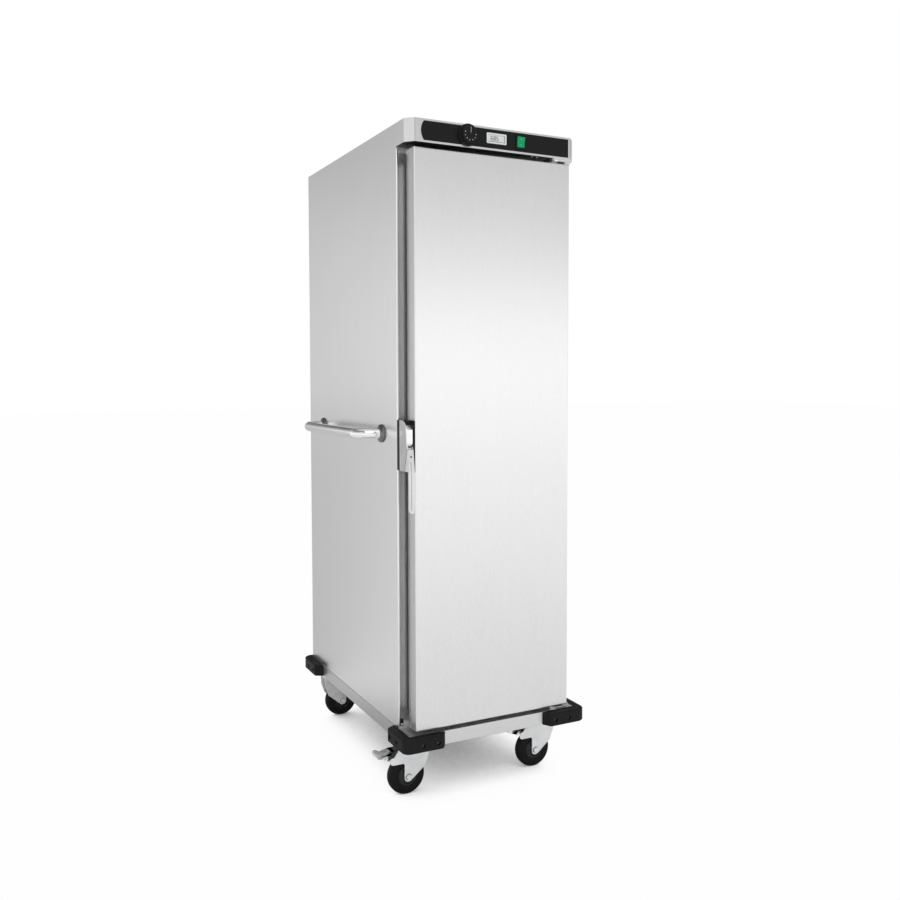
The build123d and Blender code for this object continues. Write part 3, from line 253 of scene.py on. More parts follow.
along_x = (0, math.pi / 2, 0)
along_y = (math.pi / 2, 0, 0)
rocker_glow = {"Emission_Color": (0.0, 0.45, 0.16, 1.0), "Emission_Strength": 0.07}
clear = {"Transmission_Weight": 1.0, "IOR": 1.49}
finishes = {
    "body_steel": steel("satin_body", 0.84, 0.25),
    "door_steel": steel("satin_door", 0.87, 0.28),
    "inner_steel": steel("plain_inner", 0.68, 0.36, 0.14),
    "roof_steel": steel("satin_roof", 0.84, 0.31, turn=along_y),
    "head_steel": steel("satin_head", 0.84, 0.29, turn=along_x),
    "base_steel": steel("satin_base", 0.81, 0.34, turn=along_y),
    "frame_steel": steel("satin_frame", 0.88, 0.36),
    # A paler copy of the body steel that paints a highlight on the rolled front hems
    "highlight_hem_steel": steel("satin_hem_highlight", 0.93, 0.30),
    # A darker copy of the sheet steel that paints shade on the sides of the door and the base
    "painted_shade_steel": steel("satin_painted_shade", 0.62, 0.30),
    "zinc": plating("bright_zinc", (0.88, 0.89, 0.90), 0.32),
    "fork_zinc": plating("fork_zinc", (0.90, 0.91, 0.92), 0.32, metallic=0.5),
    "lever_zinc": plating("lever_zinc", grey(0.76, 0.01), 0.3),
    "dull_zinc": plating("dull_zinc", grey(0.36, 0.01), 0.4),
    "dark_zinc": plating("dark_zinc", grey(0.10, 0.005), 0.45),
    "chrome": plating("polished_chrome", grey(0.97, 0.01), 0.10, pebble=0.01),
    # A darker copy of the chrome that paints shade on the latch cover's outer side
    "painted_shade_chrome": plating("painted_shade_chrome", grey(0.62, 0.01), 0.14, pebble=0.01),
    # A darker copy of the chrome that paints the dark reflections on the handle's flanges
    "painted_reflection_chrome": plating("painted_reflection_chrome", grey(0.20, 0.01), 0.16, 0.06),
    "aluminium": plating("bare_aluminium", grey(0.80, 0.01), 0.38),
    "heater": plating("heater_sheath", (0.34, 0.31, 0.28), 0.45, 0.2),
    "magnet": plating("ground_magnet", grey(0.34, 0.01), 0.4),
    "motor": moulding("motor_paint", (0.13, 0.14, 0.15), 0.42),
    "insulation": moulding("fibre_board", (0.78, 0.70, 0.50), 0.92, 0.8, 260.0),
    "silver_plastic": moulding("silver_moulding", (0.66, 0.67, 0.68), 0.34, 0.1),
    "window": moulding("clear_window", (0.96, 0.98, 0.97), 0.06, 0.0, 900.0, **clear),
    "green_rocker": moulding(
        "green_lens", (0.004, 0.27, 0.10), 0.26, 0.05, 900.0, Specular_IOR_Level=0.12, **rocker_glow
    ),
    "brake_plastic": moulding("brake_moulding", (0.030, 0.050, 0.045), 0.4, Specular_IOR_Level=0.3),
    "seal": moulding("seal_rubber", grey(0.10, 0.005), 0.6),
    "bush": moulding("bush_moulding", grey(0.06), 0.4),
    "black_plastic": black_moulding("black_moulding", 0.010, 0.42),
    "fascia": black_moulding("fascia_film", 0.009, 0.40, 0.12, 3600.0),
    "bumper_rubber": black_moulding("bumper_rubber", 0.009, 0.5, 0.35, 1500.0),
    "hub_nylon": black_moulding("wheel_centre", 0.016, 0.3, gloss=0.5),
    "tyre": black_moulding("tyre_rubber", 0.007, 0.5, 0.3, 1200.0),
    "display": moulding("display_film", (0.60, 0.62, 0.63), 0.25, 0.03, Coat_Weight=0.5),
    "joint_grey": moulding("joint_grey", grey(0.22), 0.5, 0.05, Specular_IOR_Level=0.2),
    "pale_print": moulding("pale_print", (0.12, 0.44, 0.28), 0.4, 0.05, Specular_IOR_Level=0.2),
    "white_print": moulding("white_print", grey(0.50), 0.45, 0.05),
    # Dark print for the digits, also used as painted shade in the head's seams, the latch's gap and the
    # display's rim
    "dark_print_and_shade": moulding("dark_print_and_shade", (0.045, 0.05, 0.05), 0.5, 0.05, Specular_IOR_Level=0.2),
}

# Nodes whose finish isn't the one of their slot
special_finish = {
    "latch_lever": "lever_zinc",
    "caster_plates": "fork_zinc",
    "front_frame": "frame_steel",
    "door_inner_pan": "door_steel",
    "roof_panel": "roof_steel",
    "control_housing": "head_steel",
    "base_frame": "base_steel",
    "bumper_screws": "dark_zinc",
}
special_finish.update({"caster_fork_" + corner: "fork_zinc" for corner in caster_corners})
for name, node in frame["nodes"].items():
    node.data.materials.clear()
    node.data.materials.append(finishes[special_finish.get(name, slot_of_node[name])])


# Meshes
def add_piece(name, mesh, body, slot, material=None):
    """Puts a finished mesh into the scene at the origin, on a body, with its slot's or another finish."""
    piece = bpy.data.objects.new(name, mesh)
    bpy.context.scene.collection.objects.link(piece)
    mesh.materials.clear()
    mesh.materials.append(finishes[material or slot])
    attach(piece, body)
    return piece


def opened(mesh):
    """A mesh as a shape that can be edited."""
    shape = bmesh.new()
    shape.from_mesh(mesh)
    return shape


def put_back(shape, mesh):
    """Writes an edited shape into its mesh."""
    shape.to_mesh(mesh)
    shape.free()


def smoothed(shape):
    """Marks every face of a shape as smooth."""
    for face in shape.faces:
        face.smooth = True


def everything(shape):
    """All of a shape's vertices, edges and faces."""
    return list(shape.verts) + list(shape.edges) + list(shape.faces)


def joined(name, meshes):
    """Several meshes as one."""
    shape = bmesh.new()
    for mesh in meshes:
        shape.from_mesh(mesh)
    whole = bpy.data.meshes.new(name)
    put_back(shape, whole)
    return whole


def grid_mesh(name, points, closed=False):
    """A smooth mesh over a grid of points in mm, (rows, columns, 3), with a quad in each cell.

    Each row is a ring. The last row joins the first if the grid is closed, and otherwise both
    end rows get a flat cap.
    """
    rows, columns = points.shape[:2]
    index = np.arange(rows * columns).reshape(rows, columns)
    caps = [] if closed else [index[0, ::-1].tolist(), index[-1].tolist()]
    if closed:
        index = np.vstack((index, index[:1]))
    index = np.hstack((index, index[:, :1]))
    cells = (index[:-1, :-1], index[:-1, 1:], index[1:, 1:], index[1:, :-1])
    quads = np.stack(cells, axis=-1).reshape(-1, 4).tolist()
    mesh = bpy.data.meshes.new(name)
    mesh.from_pydata(((points.reshape(-1, 3) + SHIFT) / 1000).tolist(), [], quads + caps)
    shape = opened(mesh)
    bmesh.ops.recalc_face_normals(shape, faces=shape.faces)
    smoothed(shape)
    put_back(shape, mesh)
    mesh.set_sharp_from_angle(angle=math.radians(40))
    return mesh


def turned_points(profile, centre, axis, segments):
    """A lathe's points: each point of a profile of (radius, along) is carried once around the axis.

    It lies at the centre, plus its distance along the axis, plus its radius times the cosine of
    the turn to one side and the sine of the turn upwards.
    """
    radius, along = np.array(profile, dtype=float).T
    axis = np.array(axis, dtype=float)
    side = np.array([axis[1], axis[2], axis[0]])
    up = np.cross(axis, side)
    angle = np.linspace(0, 2 * math.pi, segments, endpoint=False)
    spokes = np.cos(angle)[:, None] * side + np.sin(angle)[:, None] * up
    return np.array(centre) + along[:, None, None] * axis + radius[:, None, None] * spokes[None]


def turned(name, profile, centre, axis, segments=96):
    """A lathe of a closed profile, whose last point repeats its first."""
    return grid_mesh(name, turned_points(profile[:-1], centre, axis, segments), closed=True)


def rounded(points, radius, steps=6):
    """A profile whose inner points are swept round by quadratic curves of about a radius."""
    points = np.array(points, dtype=float)
    before, corner, after = points[:-2], points[1:-1], points[2:]
    ends = []
    for neighbour in (before, after):
        length = np.maximum(np.linalg.norm(neighbour - corner, axis=1), 1e-6)
        ends.append(corner + (neighbour - corner) * np.minimum(radius / length, 0.5)[:, None])
    start, end = (side[:, None] for side in ends)
    share = np.linspace(0, 1, steps)[None, :, None]
    rest = 1 - share
    curve = rest ** 2 * start + 2 * share * rest * corner[:, None] + share ** 2 * end
    return np.vstack((points[:1], curve.reshape(-1, 2), points[-1:]))


def rounded_rectangle(x, z, half_x, half_z, radius, steps=8):
    """Points (x, z) of a rectangle whose corners are quarter circles."""
    angle = np.linspace(0, math.pi / 2, steps) + np.arange(4)[:, None] * math.pi / 2
    corner_x = np.array([1, -1, -1, 1])[:, None] * (half_x - radius)
    corner_z = np.array([1, 1, -1, -1])[:, None] * (half_z - radius)
    along = x + corner_x + radius * np.cos(angle)
    upwards = z + corner_z + radius * np.sin(angle)
    return np.stack((along, upwards), axis=-1).reshape(-1, 2)


def rings_facing_front(rings, place_y):
    """Grid points of rings of (x, z) points, each ring at its own Y."""
    depth = np.broadcast_to(place_y[:, None], rings.shape[:2])
    return np.stack((rings[..., 0], depth, rings[..., 1]), axis=-1)


def plate_mesh(name, outline, low, high, edge=0.3):
    """A flat plate facing -Y, from Y = low in front to Y = high behind.

    Its rings are the outline, drawn in towards its middle as they near the front, over an edge.
    """
    outline = np.array(outline, dtype=float)
    away = outline - outline.mean(axis=0)
    away /= np.linalg.norm(away, axis=1, keepdims=True)
    inset = np.array([0.0, 0.0, edge * 0.3, edge])
    place_y = np.array([high, low + edge, low + edge * 0.3, low])
    rings = outline[None] - inset[:, None, None] * away[None]
    return grid_mesh(name, rings_facing_front(rings, place_y))


def pillow(name, outline, base_y, height):
    """A dome on a flat face towards -Y: its rings are the outline scaled by a share.

    A ring stands proud by the height times the root of one less the share's ninth power.
    """
    outline = np.array(outline, dtype=float)
    middle = outline.mean(axis=0)
    share = np.sin(np.linspace(math.pi / 2, 0.02, 20)) ** 0.6
    rings = middle + share[:, None, None] * (outline - middle)[None]
    points = rings_facing_front(rings, base_y - height * np.sqrt(1 - share ** 9))
    behind = points[:1] + np.array([0, 1.0, 0])
    return grid_mesh(name, np.concatenate((behind, points)))


def bead(name, start, end, across, out, width, height):
    """A low bead from start to end, with an elliptic section that shrinks to a tenth at both ends.

    A point is the line's, plus the width times the cosine of the turn across it, plus the height
    times the sine of the turn outwards.
    """
    start, end, across, out = (np.array(value, dtype=float) for value in (start, end, across, out))
    share = np.array([0.0, 0.01, 0.99, 1.0])
    swell = np.array([0.1, 1.0, 1.0, 0.1])
    angle = np.linspace(0, 2 * math.pi, 12, endpoint=False)
    line = start + share[:, None] * (end - start)
    section = width * np.cos(angle)[:, None] * across + height * np.sin(angle)[:, None] * out
    return grid_mesh(name, line[:, None] + swell[:, None, None] * section[None])


def dome(name, place, radius, height, facing):
    """A small domed head: the radius falls as a cosine while the height rises as a sine."""
    angle = np.linspace(0, math.pi / 2, 7)
    profile = np.stack((radius * np.cos(angle), height * np.sin(angle)), axis=-1)
    profile[-1, 0] = radius * 0.02
    foot = [[radius * 0.98, -0.2]]
    return grid_mesh(name, turned_points(np.vstack((foot, profile)), place, facing, 20))


def torus(name, centre, big, small, lean):
    """A ring facing -Y that leans back by a slope.

    A point goes round at the big radius plus the small one times the cosine of the section's turn,
    and stands out by the small radius times its sine.
    """
    around = np.linspace(0, 2 * math.pi, 24, endpoint=False)[:, None]
    section = np.linspace(0, 2 * math.pi, 8, endpoint=False)[None]
    reach = big + small * np.cos(section)
    up = reach * np.sin(around)
    points = np.stack((reach * np.cos(around), up * lean - small * np.sin(section), up), axis=-1)
    return grid_mesh(name, points + np.array(centre, dtype=float), closed=True)


# Pieces that start from a CAD node
def merged_copy(node, whole_flats=True):
    """A copy of a CAD node's mesh with its doubles merged and, if asked, its flats made whole."""
    mesh = frame["nodes"][node].data.copy()
    shape = opened(mesh)
    bmesh.ops.remove_doubles(shape, verts=shape.verts, dist=2e-6)
    if whole_flats:
        flat = math.radians(0.8)
        bmesh.ops.dissolve_limit(shape, angle_limit=flat, verts=shape.verts, edges=shape.edges)
    smoothed(shape)
    put_back(shape, mesh)
    if "custom_normal" in mesh.attributes:
        mesh.attributes.remove(mesh.attributes["custom_normal"])
    return mesh


def rounded_over(piece, width):
    """Rounds a piece's sharp edges over by a width in mm."""
    bevel = piece.modifiers.new("edges", "BEVEL")
    bevel.width = width / 1000
    bevel.segments = 3
    bevel.limit_method = "ANGLE"
    bevel.angle_limit = math.radians(32)
    bevel.harden_normals = True
    bevel.miter_outer = "MITER_ARC"


def softened(node, width, whole_flats=True):
    """A copy of a CAD node whose edges are rounded over by a width in mm, on the same body and slot."""
    mesh = merged_copy(node, whole_flats)
    slot = slot_of_node[node]
    material = special_finish.get(node)
    piece = add_piece(node + "_finished", mesh, body_of_node[node], slot, material)
    rounded_over(piece, width)
    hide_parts(node)
    return piece


def folded_edges(shape, width, on_fold, on_side):
    """Gives a wide round to edges whose two ends and one of whose faces pass a test each."""
    folds = [
        edge for edge in shape.edges
        if all(on_fold(vert.co) for vert in edge.verts)
        and len(edge.link_faces) == 2
        and any(on_side(face.normal) for face in edge.link_faces)
    ]
    settings = {"segments": 5, "profile": 0.5, "affect": "EDGES", "clamp_overlap": False}
    bmesh.ops.bevel(shape, geom=folds, offset=width / 1000, **settings)


def face_values(mesh, name):
    """A vector that each face of a mesh has, such as its normal or center, as (x, y, z) arrays."""
    values = np.zeros(len(mesh.polygons) * 3)
    mesh.polygons.foreach_get(name, values)
    return values.reshape(-1, 3).T


def sideways_faces(piece, material):
    """A second finish for the faces of a piece that look along X, either way, to paint shade on those
    sides.
    """
    mesh = piece.data
    mesh.materials.append(finishes[material])
    sideways = np.abs(face_values(mesh, "normal")[0]) > 0.9
    mesh.polygons.foreach_set("material_index", sideways.astype(np.int32))


def even_flats(piece):
    """Lets the large flats set the normals, so that a rounded edge doesn't shade them."""
    piece.modifiers.new("flats", "WEIGHTED_NORMAL").keep_sharp = True


def door_front():
    """The door's outer pan with its four front edges folded to a round, and painted shade on its sides."""
    mesh = merged_copy("door_skin")
    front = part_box("door_skin")[0][1]
    shape = opened(mesh)
    folded_edges(shape, 2.5, lambda at: abs(at.y - front) < 1e-5, lambda way: abs(way.y) < 0.2)
    smoothed(shape)
    put_back(shape, mesh)
    piece = add_piece("door_front", mesh, body_of_node["door_skin"], "door_steel")
    # Painted shade: the door's sides get the darker steel
    sideways_faces(piece, "painted_shade_steel")
    rounded_over(piece, 0.4)
    even_flats(piece)
    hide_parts("door_skin")


def latch_cover():
    """The latch's cover: a rounded outer edge, a side in darker chrome that paints its shade, and a black
    brow above a fine black line.
    """
    mesh = merged_copy("latch_housing")
    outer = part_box("latch_housing")[0][0]
    foot = cover_foot / 1000
    shape = opened(mesh)
    folded_edges(
        shape, 4.5, lambda at: abs(at.x - outer) < 1e-5 and at.z > foot, lambda way: way.y < -0.2
    )
    heights = [z / 1000 for z in (brow_low, brow_line_high, brow_line_low)]
    for z in heights:
        cut = {"plane_co": (0, 0, z), "plane_no": (0, 0, 1)}
        bmesh.ops.bisect_plane(shape, geom=everything(shape), **cut)
    smoothed(shape)
    put_back(shape, mesh)
    piece = add_piece("latch_cover", mesh, body_of_node["latch_housing"], "chrome")
    mesh.materials.append(finishes["black_plastic"])
    mesh.materials.append(finishes["painted_shade_chrome"])
    z = face_values(mesh, "center")[2]
    out, front, _ = face_values(mesh, "normal")
    banded = (z > heights[0]) | ((z > heights[2]) & (z < heights[1]))
    brow = banded & (np.abs(out) < 0.8) & (front < 0.3)
    # Faces that look out along -X get the darker chrome as painted shade
    number = np.where(brow, 1, 2 * (out < -0.95))
    mesh.polygons.foreach_set("material_index", number.astype(np.int32))
    rounded_over(piece, 0.6)
    even_flats(piece)
    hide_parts("latch_housing")


def brake_part(corner, label, outer, material):
    """The brake's moulding on one side of a plane across it, closed where it was cut."""
    node = "caster_brake_" + corner
    mesh = merged_copy(node)
    shape = opened(mesh)
    place = ((swivel_x[corner] - brake_split + SHIFT[0]) / 1000, 0, 0)
    plane = {"plane_co": place, "plane_no": (-1 if outer else 1, 0, 0)}
    cut = bmesh.ops.bisect_plane(shape, geom=everything(shape), clear_inner=True, **plane)
    rim = [edge for edge in cut["geom_cut"] if isinstance(edge, bmesh.types.BMEdge)]
    bmesh.ops.holes_fill(shape, edges=rim)
    bmesh.ops.recalc_face_normals(shape, faces=shape.faces)
    put_back(shape, mesh)
    name = "brake_" + label + "_" + corner
    piece = add_piece(name, mesh, body_of_node[node], "brake_plastic", material)
    rounded_over(piece, 1.0)
    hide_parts(node)


# Side handle
def handle_path():
    """The tube's centre line, (x, y): in from the side, a quarter turn, the bar, a turn and back."""
    turn = np.linspace(0, math.pi / 2, 20)
    near_x = handle_out + handle_bend * (1 - np.sin(turn))
    near_y = handle_near + handle_bend * (1 - np.cos(turn))
    far_x = handle_out + handle_bend * (1 - np.cos(turn))
    far_y = handle_far - handle_bend * (1 - np.sin(turn))
    first = np.stack((near_x, near_y), axis=-1)
    last = np.stack((far_x, far_y), axis=-1)
    return np.vstack(([[left, handle_near]], first, last, [[left, handle_far]]))


def side_handle():
    """A tube: a circle of points, square to the centre line at each of its points."""
    path = handle_path()
    along = np.gradient(path, axis=0)
    along /= np.linalg.norm(along, axis=1, keepdims=True)
    outward = np.stack((-along[:, 1], along[:, 0], np.zeros(len(path))), axis=-1)[:, None]
    angle = np.linspace(0, 2 * math.pi, 64, endpoint=False)[None, :, None]
    circle = np.cos(angle) * outward + np.sin(angle) * np.array([0, 0, 1.0])
    centre = np.column_stack((path, np.full(len(path), handle_z)))[:, None]
    mesh = grid_mesh("side_handle", centre + tube_r * circle)
    piece = add_piece("side_handle", mesh, "cabinet", "chrome")
    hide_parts("handle_tube")


def handle_feet():
    """Two flanges, each turned from a rounded profile around the handle's foot, in a darker chrome that
    paints the dark reflections they show.
    """
    bore = tube_r + 0.1
    profile = [(bore, 0), (flange_r, 0), (flange_r, 4.0), (17.5, 9.0), (bore, 9.0), (bore, 0)]
    for label, y in (("front", handle_near), ("rear", handle_far)):
        mesh = turned("foot", rounded(profile, 1.6), (left, y, handle_z), (-1, 0, 0))
        piece = add_piece("handle_foot_" + label, mesh, "cabinet", "chrome", "painted_reflection_chrome")
        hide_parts("handle_flanges")


# Casters
def caster_wheel(corner):
    """A tyre and a dished centre, each turned from a profile of (radius, distance from the middle)."""
    axle = middle_of("caster_tyre_" + corner)
    body = "wheel_" + corner
    half_tread = [(26.0, 14.0), (30.0, 15.0), (44.0, 14.4), (50.8, 9.0)]
    mirrored = [(radius, -along) for radius, along in half_tread]
    tread = rounded(mirrored + half_tread[::-1], 5.0)
    tread = np.vstack((tread, tread[:1]))
    tyre = add_piece("tyre_" + corner, turned("tyre", tread, axle, (0, 1, 0), 128), body, "tyre")
    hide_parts("caster_tyre_" + corner)
    half_dish = [(4.05, 16.0), (10.0, 16.0), (11.5, 12.5), (21.5, 10.5), (23.0, 14.6), (25.9, 14.6)]
    mirrored = [(radius, -along) for radius, along in half_dish[::-1]]
    dish = rounded(half_dish + mirrored + half_dish[:1], 1.2)
    mesh = turned("centre", dish, axle, (0, 1, 0))
    centre = add_piece("centre_" + corner, mesh, body, "hub_nylon")
    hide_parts("caster_hub_" + corner)


def axle_washers():
    """A washer under each axle head, turned from a small profile."""
    inner = 5.2
    outer = 8.6
    thick = 1.1
    profile = [(inner, 0), (outer, 0), (outer, thick), (inner, thick), (inner, 0)]
    profile = rounded(profile, 0.3, 3)
    for corner in caster_corners:
        axle = middle_of("caster_tyre_" + corner)
        sides = [
            turned("washer", profile, axle + (0, washer_place * way, 0), (0, way, 0), 40)
            for way in (-1, 1)
        ]
        body = body_of_node["caster_fork_" + corner]
        washers = joined("axle_washers", sides)
        add_piece("axle_washers_" + corner, washers, body, "zinc", "dull_zinc")


# Latch
def latch_front():
    """The domed front of the latch's cover."""
    outline = rounded_rectangle(-241.4, 949.6, 8.0, 23.0, 4.0)
    add_piece("latch_front", pillow("latch_front", outline, -59.0, 6.6), "door", "chrome")


def lever_marks():
    """The lever's stop screw, the line pressed down its ridge, and the pad at its tip."""
    across = (1, 0, 0)
    out = (0, -1, 0)
    screw = dome("screw", (lever_x, -68.75, 899.0), 2.5, 0.7, out)
    add_piece("lever_screw", screw, "latch_lever", "zinc", "dark_zinc")
    blade_low = (lever_ridge_x, -74.85, 764.0)
    blade_high = (lever_ridge_x, -74.85, 860.0)
    neck_low = (lever_ridge_x, -73.95, 862.0)
    neck_high = (lever_ridge_x, -70.4, 887.0)
    lines = [
        bead("line", blade_low, blade_high, across, out, 0.8, 0.3),
        bead("line", neck_low, neck_high, across, out, 0.7, 0.2),
    ]
    add_piece("lever_line", joined("lever_line", lines), "latch_lever", "zinc", "dull_zinc")
    tip = dome("tip", (lever_x, -73.9, 759.6), 3.2, 0.6, out)
    add_piece("lever_tip", tip, "latch_lever", "zinc", "dull_zinc")


# Control head
def segment_digits(text, start, bottom, face_y):
    """Seven-segment digits and a point, each stroke a bar with pointed ends, leaning by a tenth."""
    height = 9.6
    stroke = 1.5
    pitch = 8.2
    proud = 0.12
    edge = 0.05
    width = height * 0.52
    end = stroke / 2
    clear_of_end = stroke * 0.15
    half_level = width / 2 - clear_of_end
    half_upright = height / 4 - clear_of_end
    lit = {"6": "acdefg", "8": "abcdefg", "5": "acdfg"}
    level = {"a": height, "g": height / 2, "d": 0}
    upright = {"f": (0, 0.75), "b": (width, 0.75), "e": (0, 0.25), "c": (width, 0.25)}
    bars = []
    for place, digit in enumerate(text):
        for label in lit[digit]:
            long = half_level if label in level else half_upright
            bar = np.array([(-long, 0), (end - long, -end), (long - end, -end)])
            bar = np.vstack((bar, -bar))
            if label in level:
                bar = bar + (width / 2, level[label])
            else:
                x, share = upright[label]
                bar = bar[:, ::-1] * (1, -1) + (x, height * share)
            bar[:, 0] += bar[:, 1] * 0.1 + start + place * pitch
            bar[:, 1] += bottom
            bars.append(plate_mesh("bar", bar, face_y - proud, face_y, edge))
    dot = rounded_rectangle(start + 1.86 * pitch, bottom, stroke * 0.55, stroke * 0.55, end, 4)
    bars.append(plate_mesh("dot", dot, face_y - proud, face_y, edge))
    return joined("display_digits", bars)


def display():
    """The thermometer's pale panel with a dark line of painted shade around it, wider at the bottom and
    right, and plain digits.
    """
    low, high = box_of("thermometer_window")
    x, _, z = (low + high) / 2
    half_x, _, half_z = (high - low) / 2
    face = low[1]
    screen_y = face + 0.05
    line = 0.75
    off_middle = 0.55
    outline = rounded_rectangle(x, z, half_x, half_z, 1.2)
    # Painted shade: the dark rim stands in for the recess's shaded walls
    rim = plate_mesh("rim", outline, face + 0.25, high[1], 0.1)
    rim = add_piece("display_rim_shade", rim, "cabinet", "window", "dark_print_and_shade")
    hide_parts("thermometer_window")
    # The panel sits up and to the left, so the painted shade shows wider at the bottom and right
    outline = rounded_rectangle(x - off_middle, z + off_middle, half_x - line, half_z - line, 1.0)
    panel = plate_mesh("panel", outline, screen_y, face + 0.3, 0.15)
    add_piece("display_panel", panel, "cabinet", "window", "display")
    digits = segment_digits("685", x - 17.0, z - 4.6, screen_y)
    add_piece("display_digits", digits, "cabinet", "window", "dark_print_and_shade")


def knob_marks():
    """Seven dots around the knob's face and a pointer line at its top."""
    x, _, z = middle_of("thermostat_knob")
    face = box_of("thermostat_knob")[0, 1]
    low = face - 0.12
    high = face + 0.1
    edge = 0.1
    dots_at = 15.4
    dot_r = 1.15
    marks = []
    for angle in np.radians(np.linspace(163, 358, 7)):
        place = (x + dots_at * math.cos(angle), z + dots_at * math.sin(angle))
        dot = rounded_rectangle(*place, dot_r, dot_r, dot_r - 0.05, 4)
        marks.append(plate_mesh("dot", dot, low, high, edge))
    line = rounded_rectangle(x + 1.2, z + 10.2, 0.5, 7.2, 0.45, 4)
    marks.append(plate_mesh("line", line, low, high, edge))
    add_piece("knob_marks", joined("knob_marks", marks), "knob", "silver_plastic", "white_print")


def rocker_marks():
    """A plain bar on the rocker's upper half and a plain ring on its lower half, for on and off."""
    x = middle_of("switch_rocker")[0]
    start = np.array([x, -77.06, 1715.66])
    end = np.array([x, -78.54, 1721.52])
    _, lean, rise = (end - start) / np.linalg.norm(end - start)
    bar = bead("bar", start, end, (1, 0, 0), (0, -rise, lean), 0.8, 0.25)
    circle = torus("circle", (x, -75.72, 1703.84), 2.5, 0.45, -0.031)
    marks = joined("rocker_marks", [bar, circle])
    add_piece("rocker_marks", marks, "rocker", "green_rocker", "pale_print")


def painted_shadow_lines():
    """Fine dark lines of painted shadow: down the head's front corner seams, and in the gap between the
    latch's cover and its lever.
    """
    inset = 1.2
    seam_x = right - head_chamfer_x + 0.2
    seam_y = head_low[1] + 0.05
    down = []
    for x in (-seam_x, seam_x):
        low = (x, seam_y, head_low[2] + inset)
        high = (x, seam_y, head_high[2] - inset)
        down.append(bead("seam", low, high, (1, 0, 0), (0, -1, 0), 0.45, 0.15))
    # The seams' darkness is painted shadow
    add_piece("head_seam_shadows", joined("head_seam_shadows", down), "cabinet", "body_steel", "dark_print_and_shade")
    # Painted shadow: a dark bead where the gap between the cover and the lever lies in shade
    joint_x = left + 0.05
    ends = ((joint_x, -64.4, 917.0), (joint_x, -46.6, 862.0))
    joint = bead("joint", *ends, (0, 0.95, 0.3), (-1, 0, 0), 1.3, 0.18)
    add_piece("latch_gap_shadow", joint, "door", "chrome", "dark_print_and_shade")


def head_shade_sheet():
    """A black sheet that paints the shade under the head's overhang: its rings are its plan, the lowest
    drawn in a little.
    """
    margin = 1.4
    corner_margin = 0.6
    side = left + margin
    front = head_low[1] + margin
    rear = -3.0
    hinge_end = box_of("hinge_bracket_top")[0, 0] - 1.8
    plan = np.array([
        (side, rear), (side, head_low[1] + head_chamfer_y),
        (left + head_chamfer_x + corner_margin, front), (hinge_end, front), (hinge_end, rear),
    ])
    away = np.sign(plan - plan.mean(axis=0))
    inset = np.array([0.0, 0.0, 0.6])
    rings = plan[None] - inset[:, None, None] * away[None]
    height = head_low[2] - np.array([0.02, 0.7, 1.1])
    points = np.dstack((rings, np.broadcast_to(height[:, None], rings.shape[:2])))
    # Painted shade: a black sheet where the overhang's shadow falls
    add_piece("head_shade_sheet", grid_mesh("head_shade_sheet", points), "cabinet", "black_plastic")
    screw_z = head_low[2] - 1.0
    heads = [dome("screw", (x, -62.0, screw_z), 3.4, 1.6, (0, 0, -1)) for x in (116.0, 131.0)]
    add_piece("head_underside_screws", joined("head_underside_screws", heads), "cabinet", "zinc")


# Cabinet
def back_screws():
    """Domed screws down both edges of the back sheet."""
    screw_x = right - 12.0
    heads = [
        dome("screw", (x, back, z), 4.0, 1.8, (0, 1, 0))
        for x in (-screw_x, screw_x) for z in np.linspace(215.0, 1655.0, 7)
    ]
    add_piece("back_screws", joined("back_screws", heads), "cabinet", "zinc")


def front_hems():
    """The rolled front edges of the side sheets, from the base up to the head. Their round catches real
    light, and their paler steel adds a painted highlight.
    """
    hem_r = 3.3
    hem_x = right - hem_r
    low_z = base_top + 1.0
    high_z = head_low[2] - 0.5
    for label, x in (("left", -hem_x), ("right", hem_x)):
        ends = ((x, 0.0, low_z), (x, 0.0, high_z))
        hem = bead("hem", *ends, (1, 0, 0), (0, -1, 0), hem_r, 2.6)
        add_piece("front_hem_" + label, hem, "cabinet", "body_steel", "highlight_hem_steel")


def roof_rear_flange():
    """The roof's rear fold, lapped over the back sheet: a profile of (Y, Z) carried along X."""
    end_x = right - 15.3
    profile = np.array([
        (-3.0, -0.8), (-2.0, -0.2), (-1.0, -0.6), (-0.4, -1.6), (-0.4, -18.2),
        (-0.7, -18.8), (-1.1, -18.8), (-1.3, -18.2), (-1.3, -2.0), (-2.6, -1.4),
    ])
    points = np.empty((2, len(profile), 3))
    points[..., 0] = [[-end_x], [end_x]]
    points[..., 1:] = profile + (back, top)
    add_piece("roof_rear_flange", grid_mesh("roof_rear_flange", points), "cabinet", "body_steel")


def lower_joints():
    """The joint between the cabinet's sheets and the base, and the stop screwed to the sill's left end."""
    z = base_top + 0.1
    ends = 1.0
    up = (0, 0, 1)
    joints = []
    for x in (left, right):
        line = ((x, ends, z), (x, back - ends, z))
        joints.append(bead("joint", *line, up, (1, 0, 0), 1.0, 0.2))
    line = ((left + ends, back, z), (right - ends, back, z))
    joints.append(bead("joint", *line, up, (0, 1, 0), 1.0, 0.2))
    add_piece("base_joints", joined("base_joints", joints), "cabinet", "seal", "joint_grey")
    stop_x = -242.4
    stop_front = -7.0
    outline = rounded_rectangle(stop_x, 199.0, 4.2, 9.5, 1.5)
    stop = plate_mesh("block", outline, stop_front, 0.2, 1.0)
    add_piece("sill_stop", stop, "cabinet", "black_plastic")
    screw = dome("screw", (stop_x, stop_front, 195.0), 3.0, 1.4, (0, -1, 0))
    add_piece("sill_stop_screw", screw, "cabinet", "zinc")


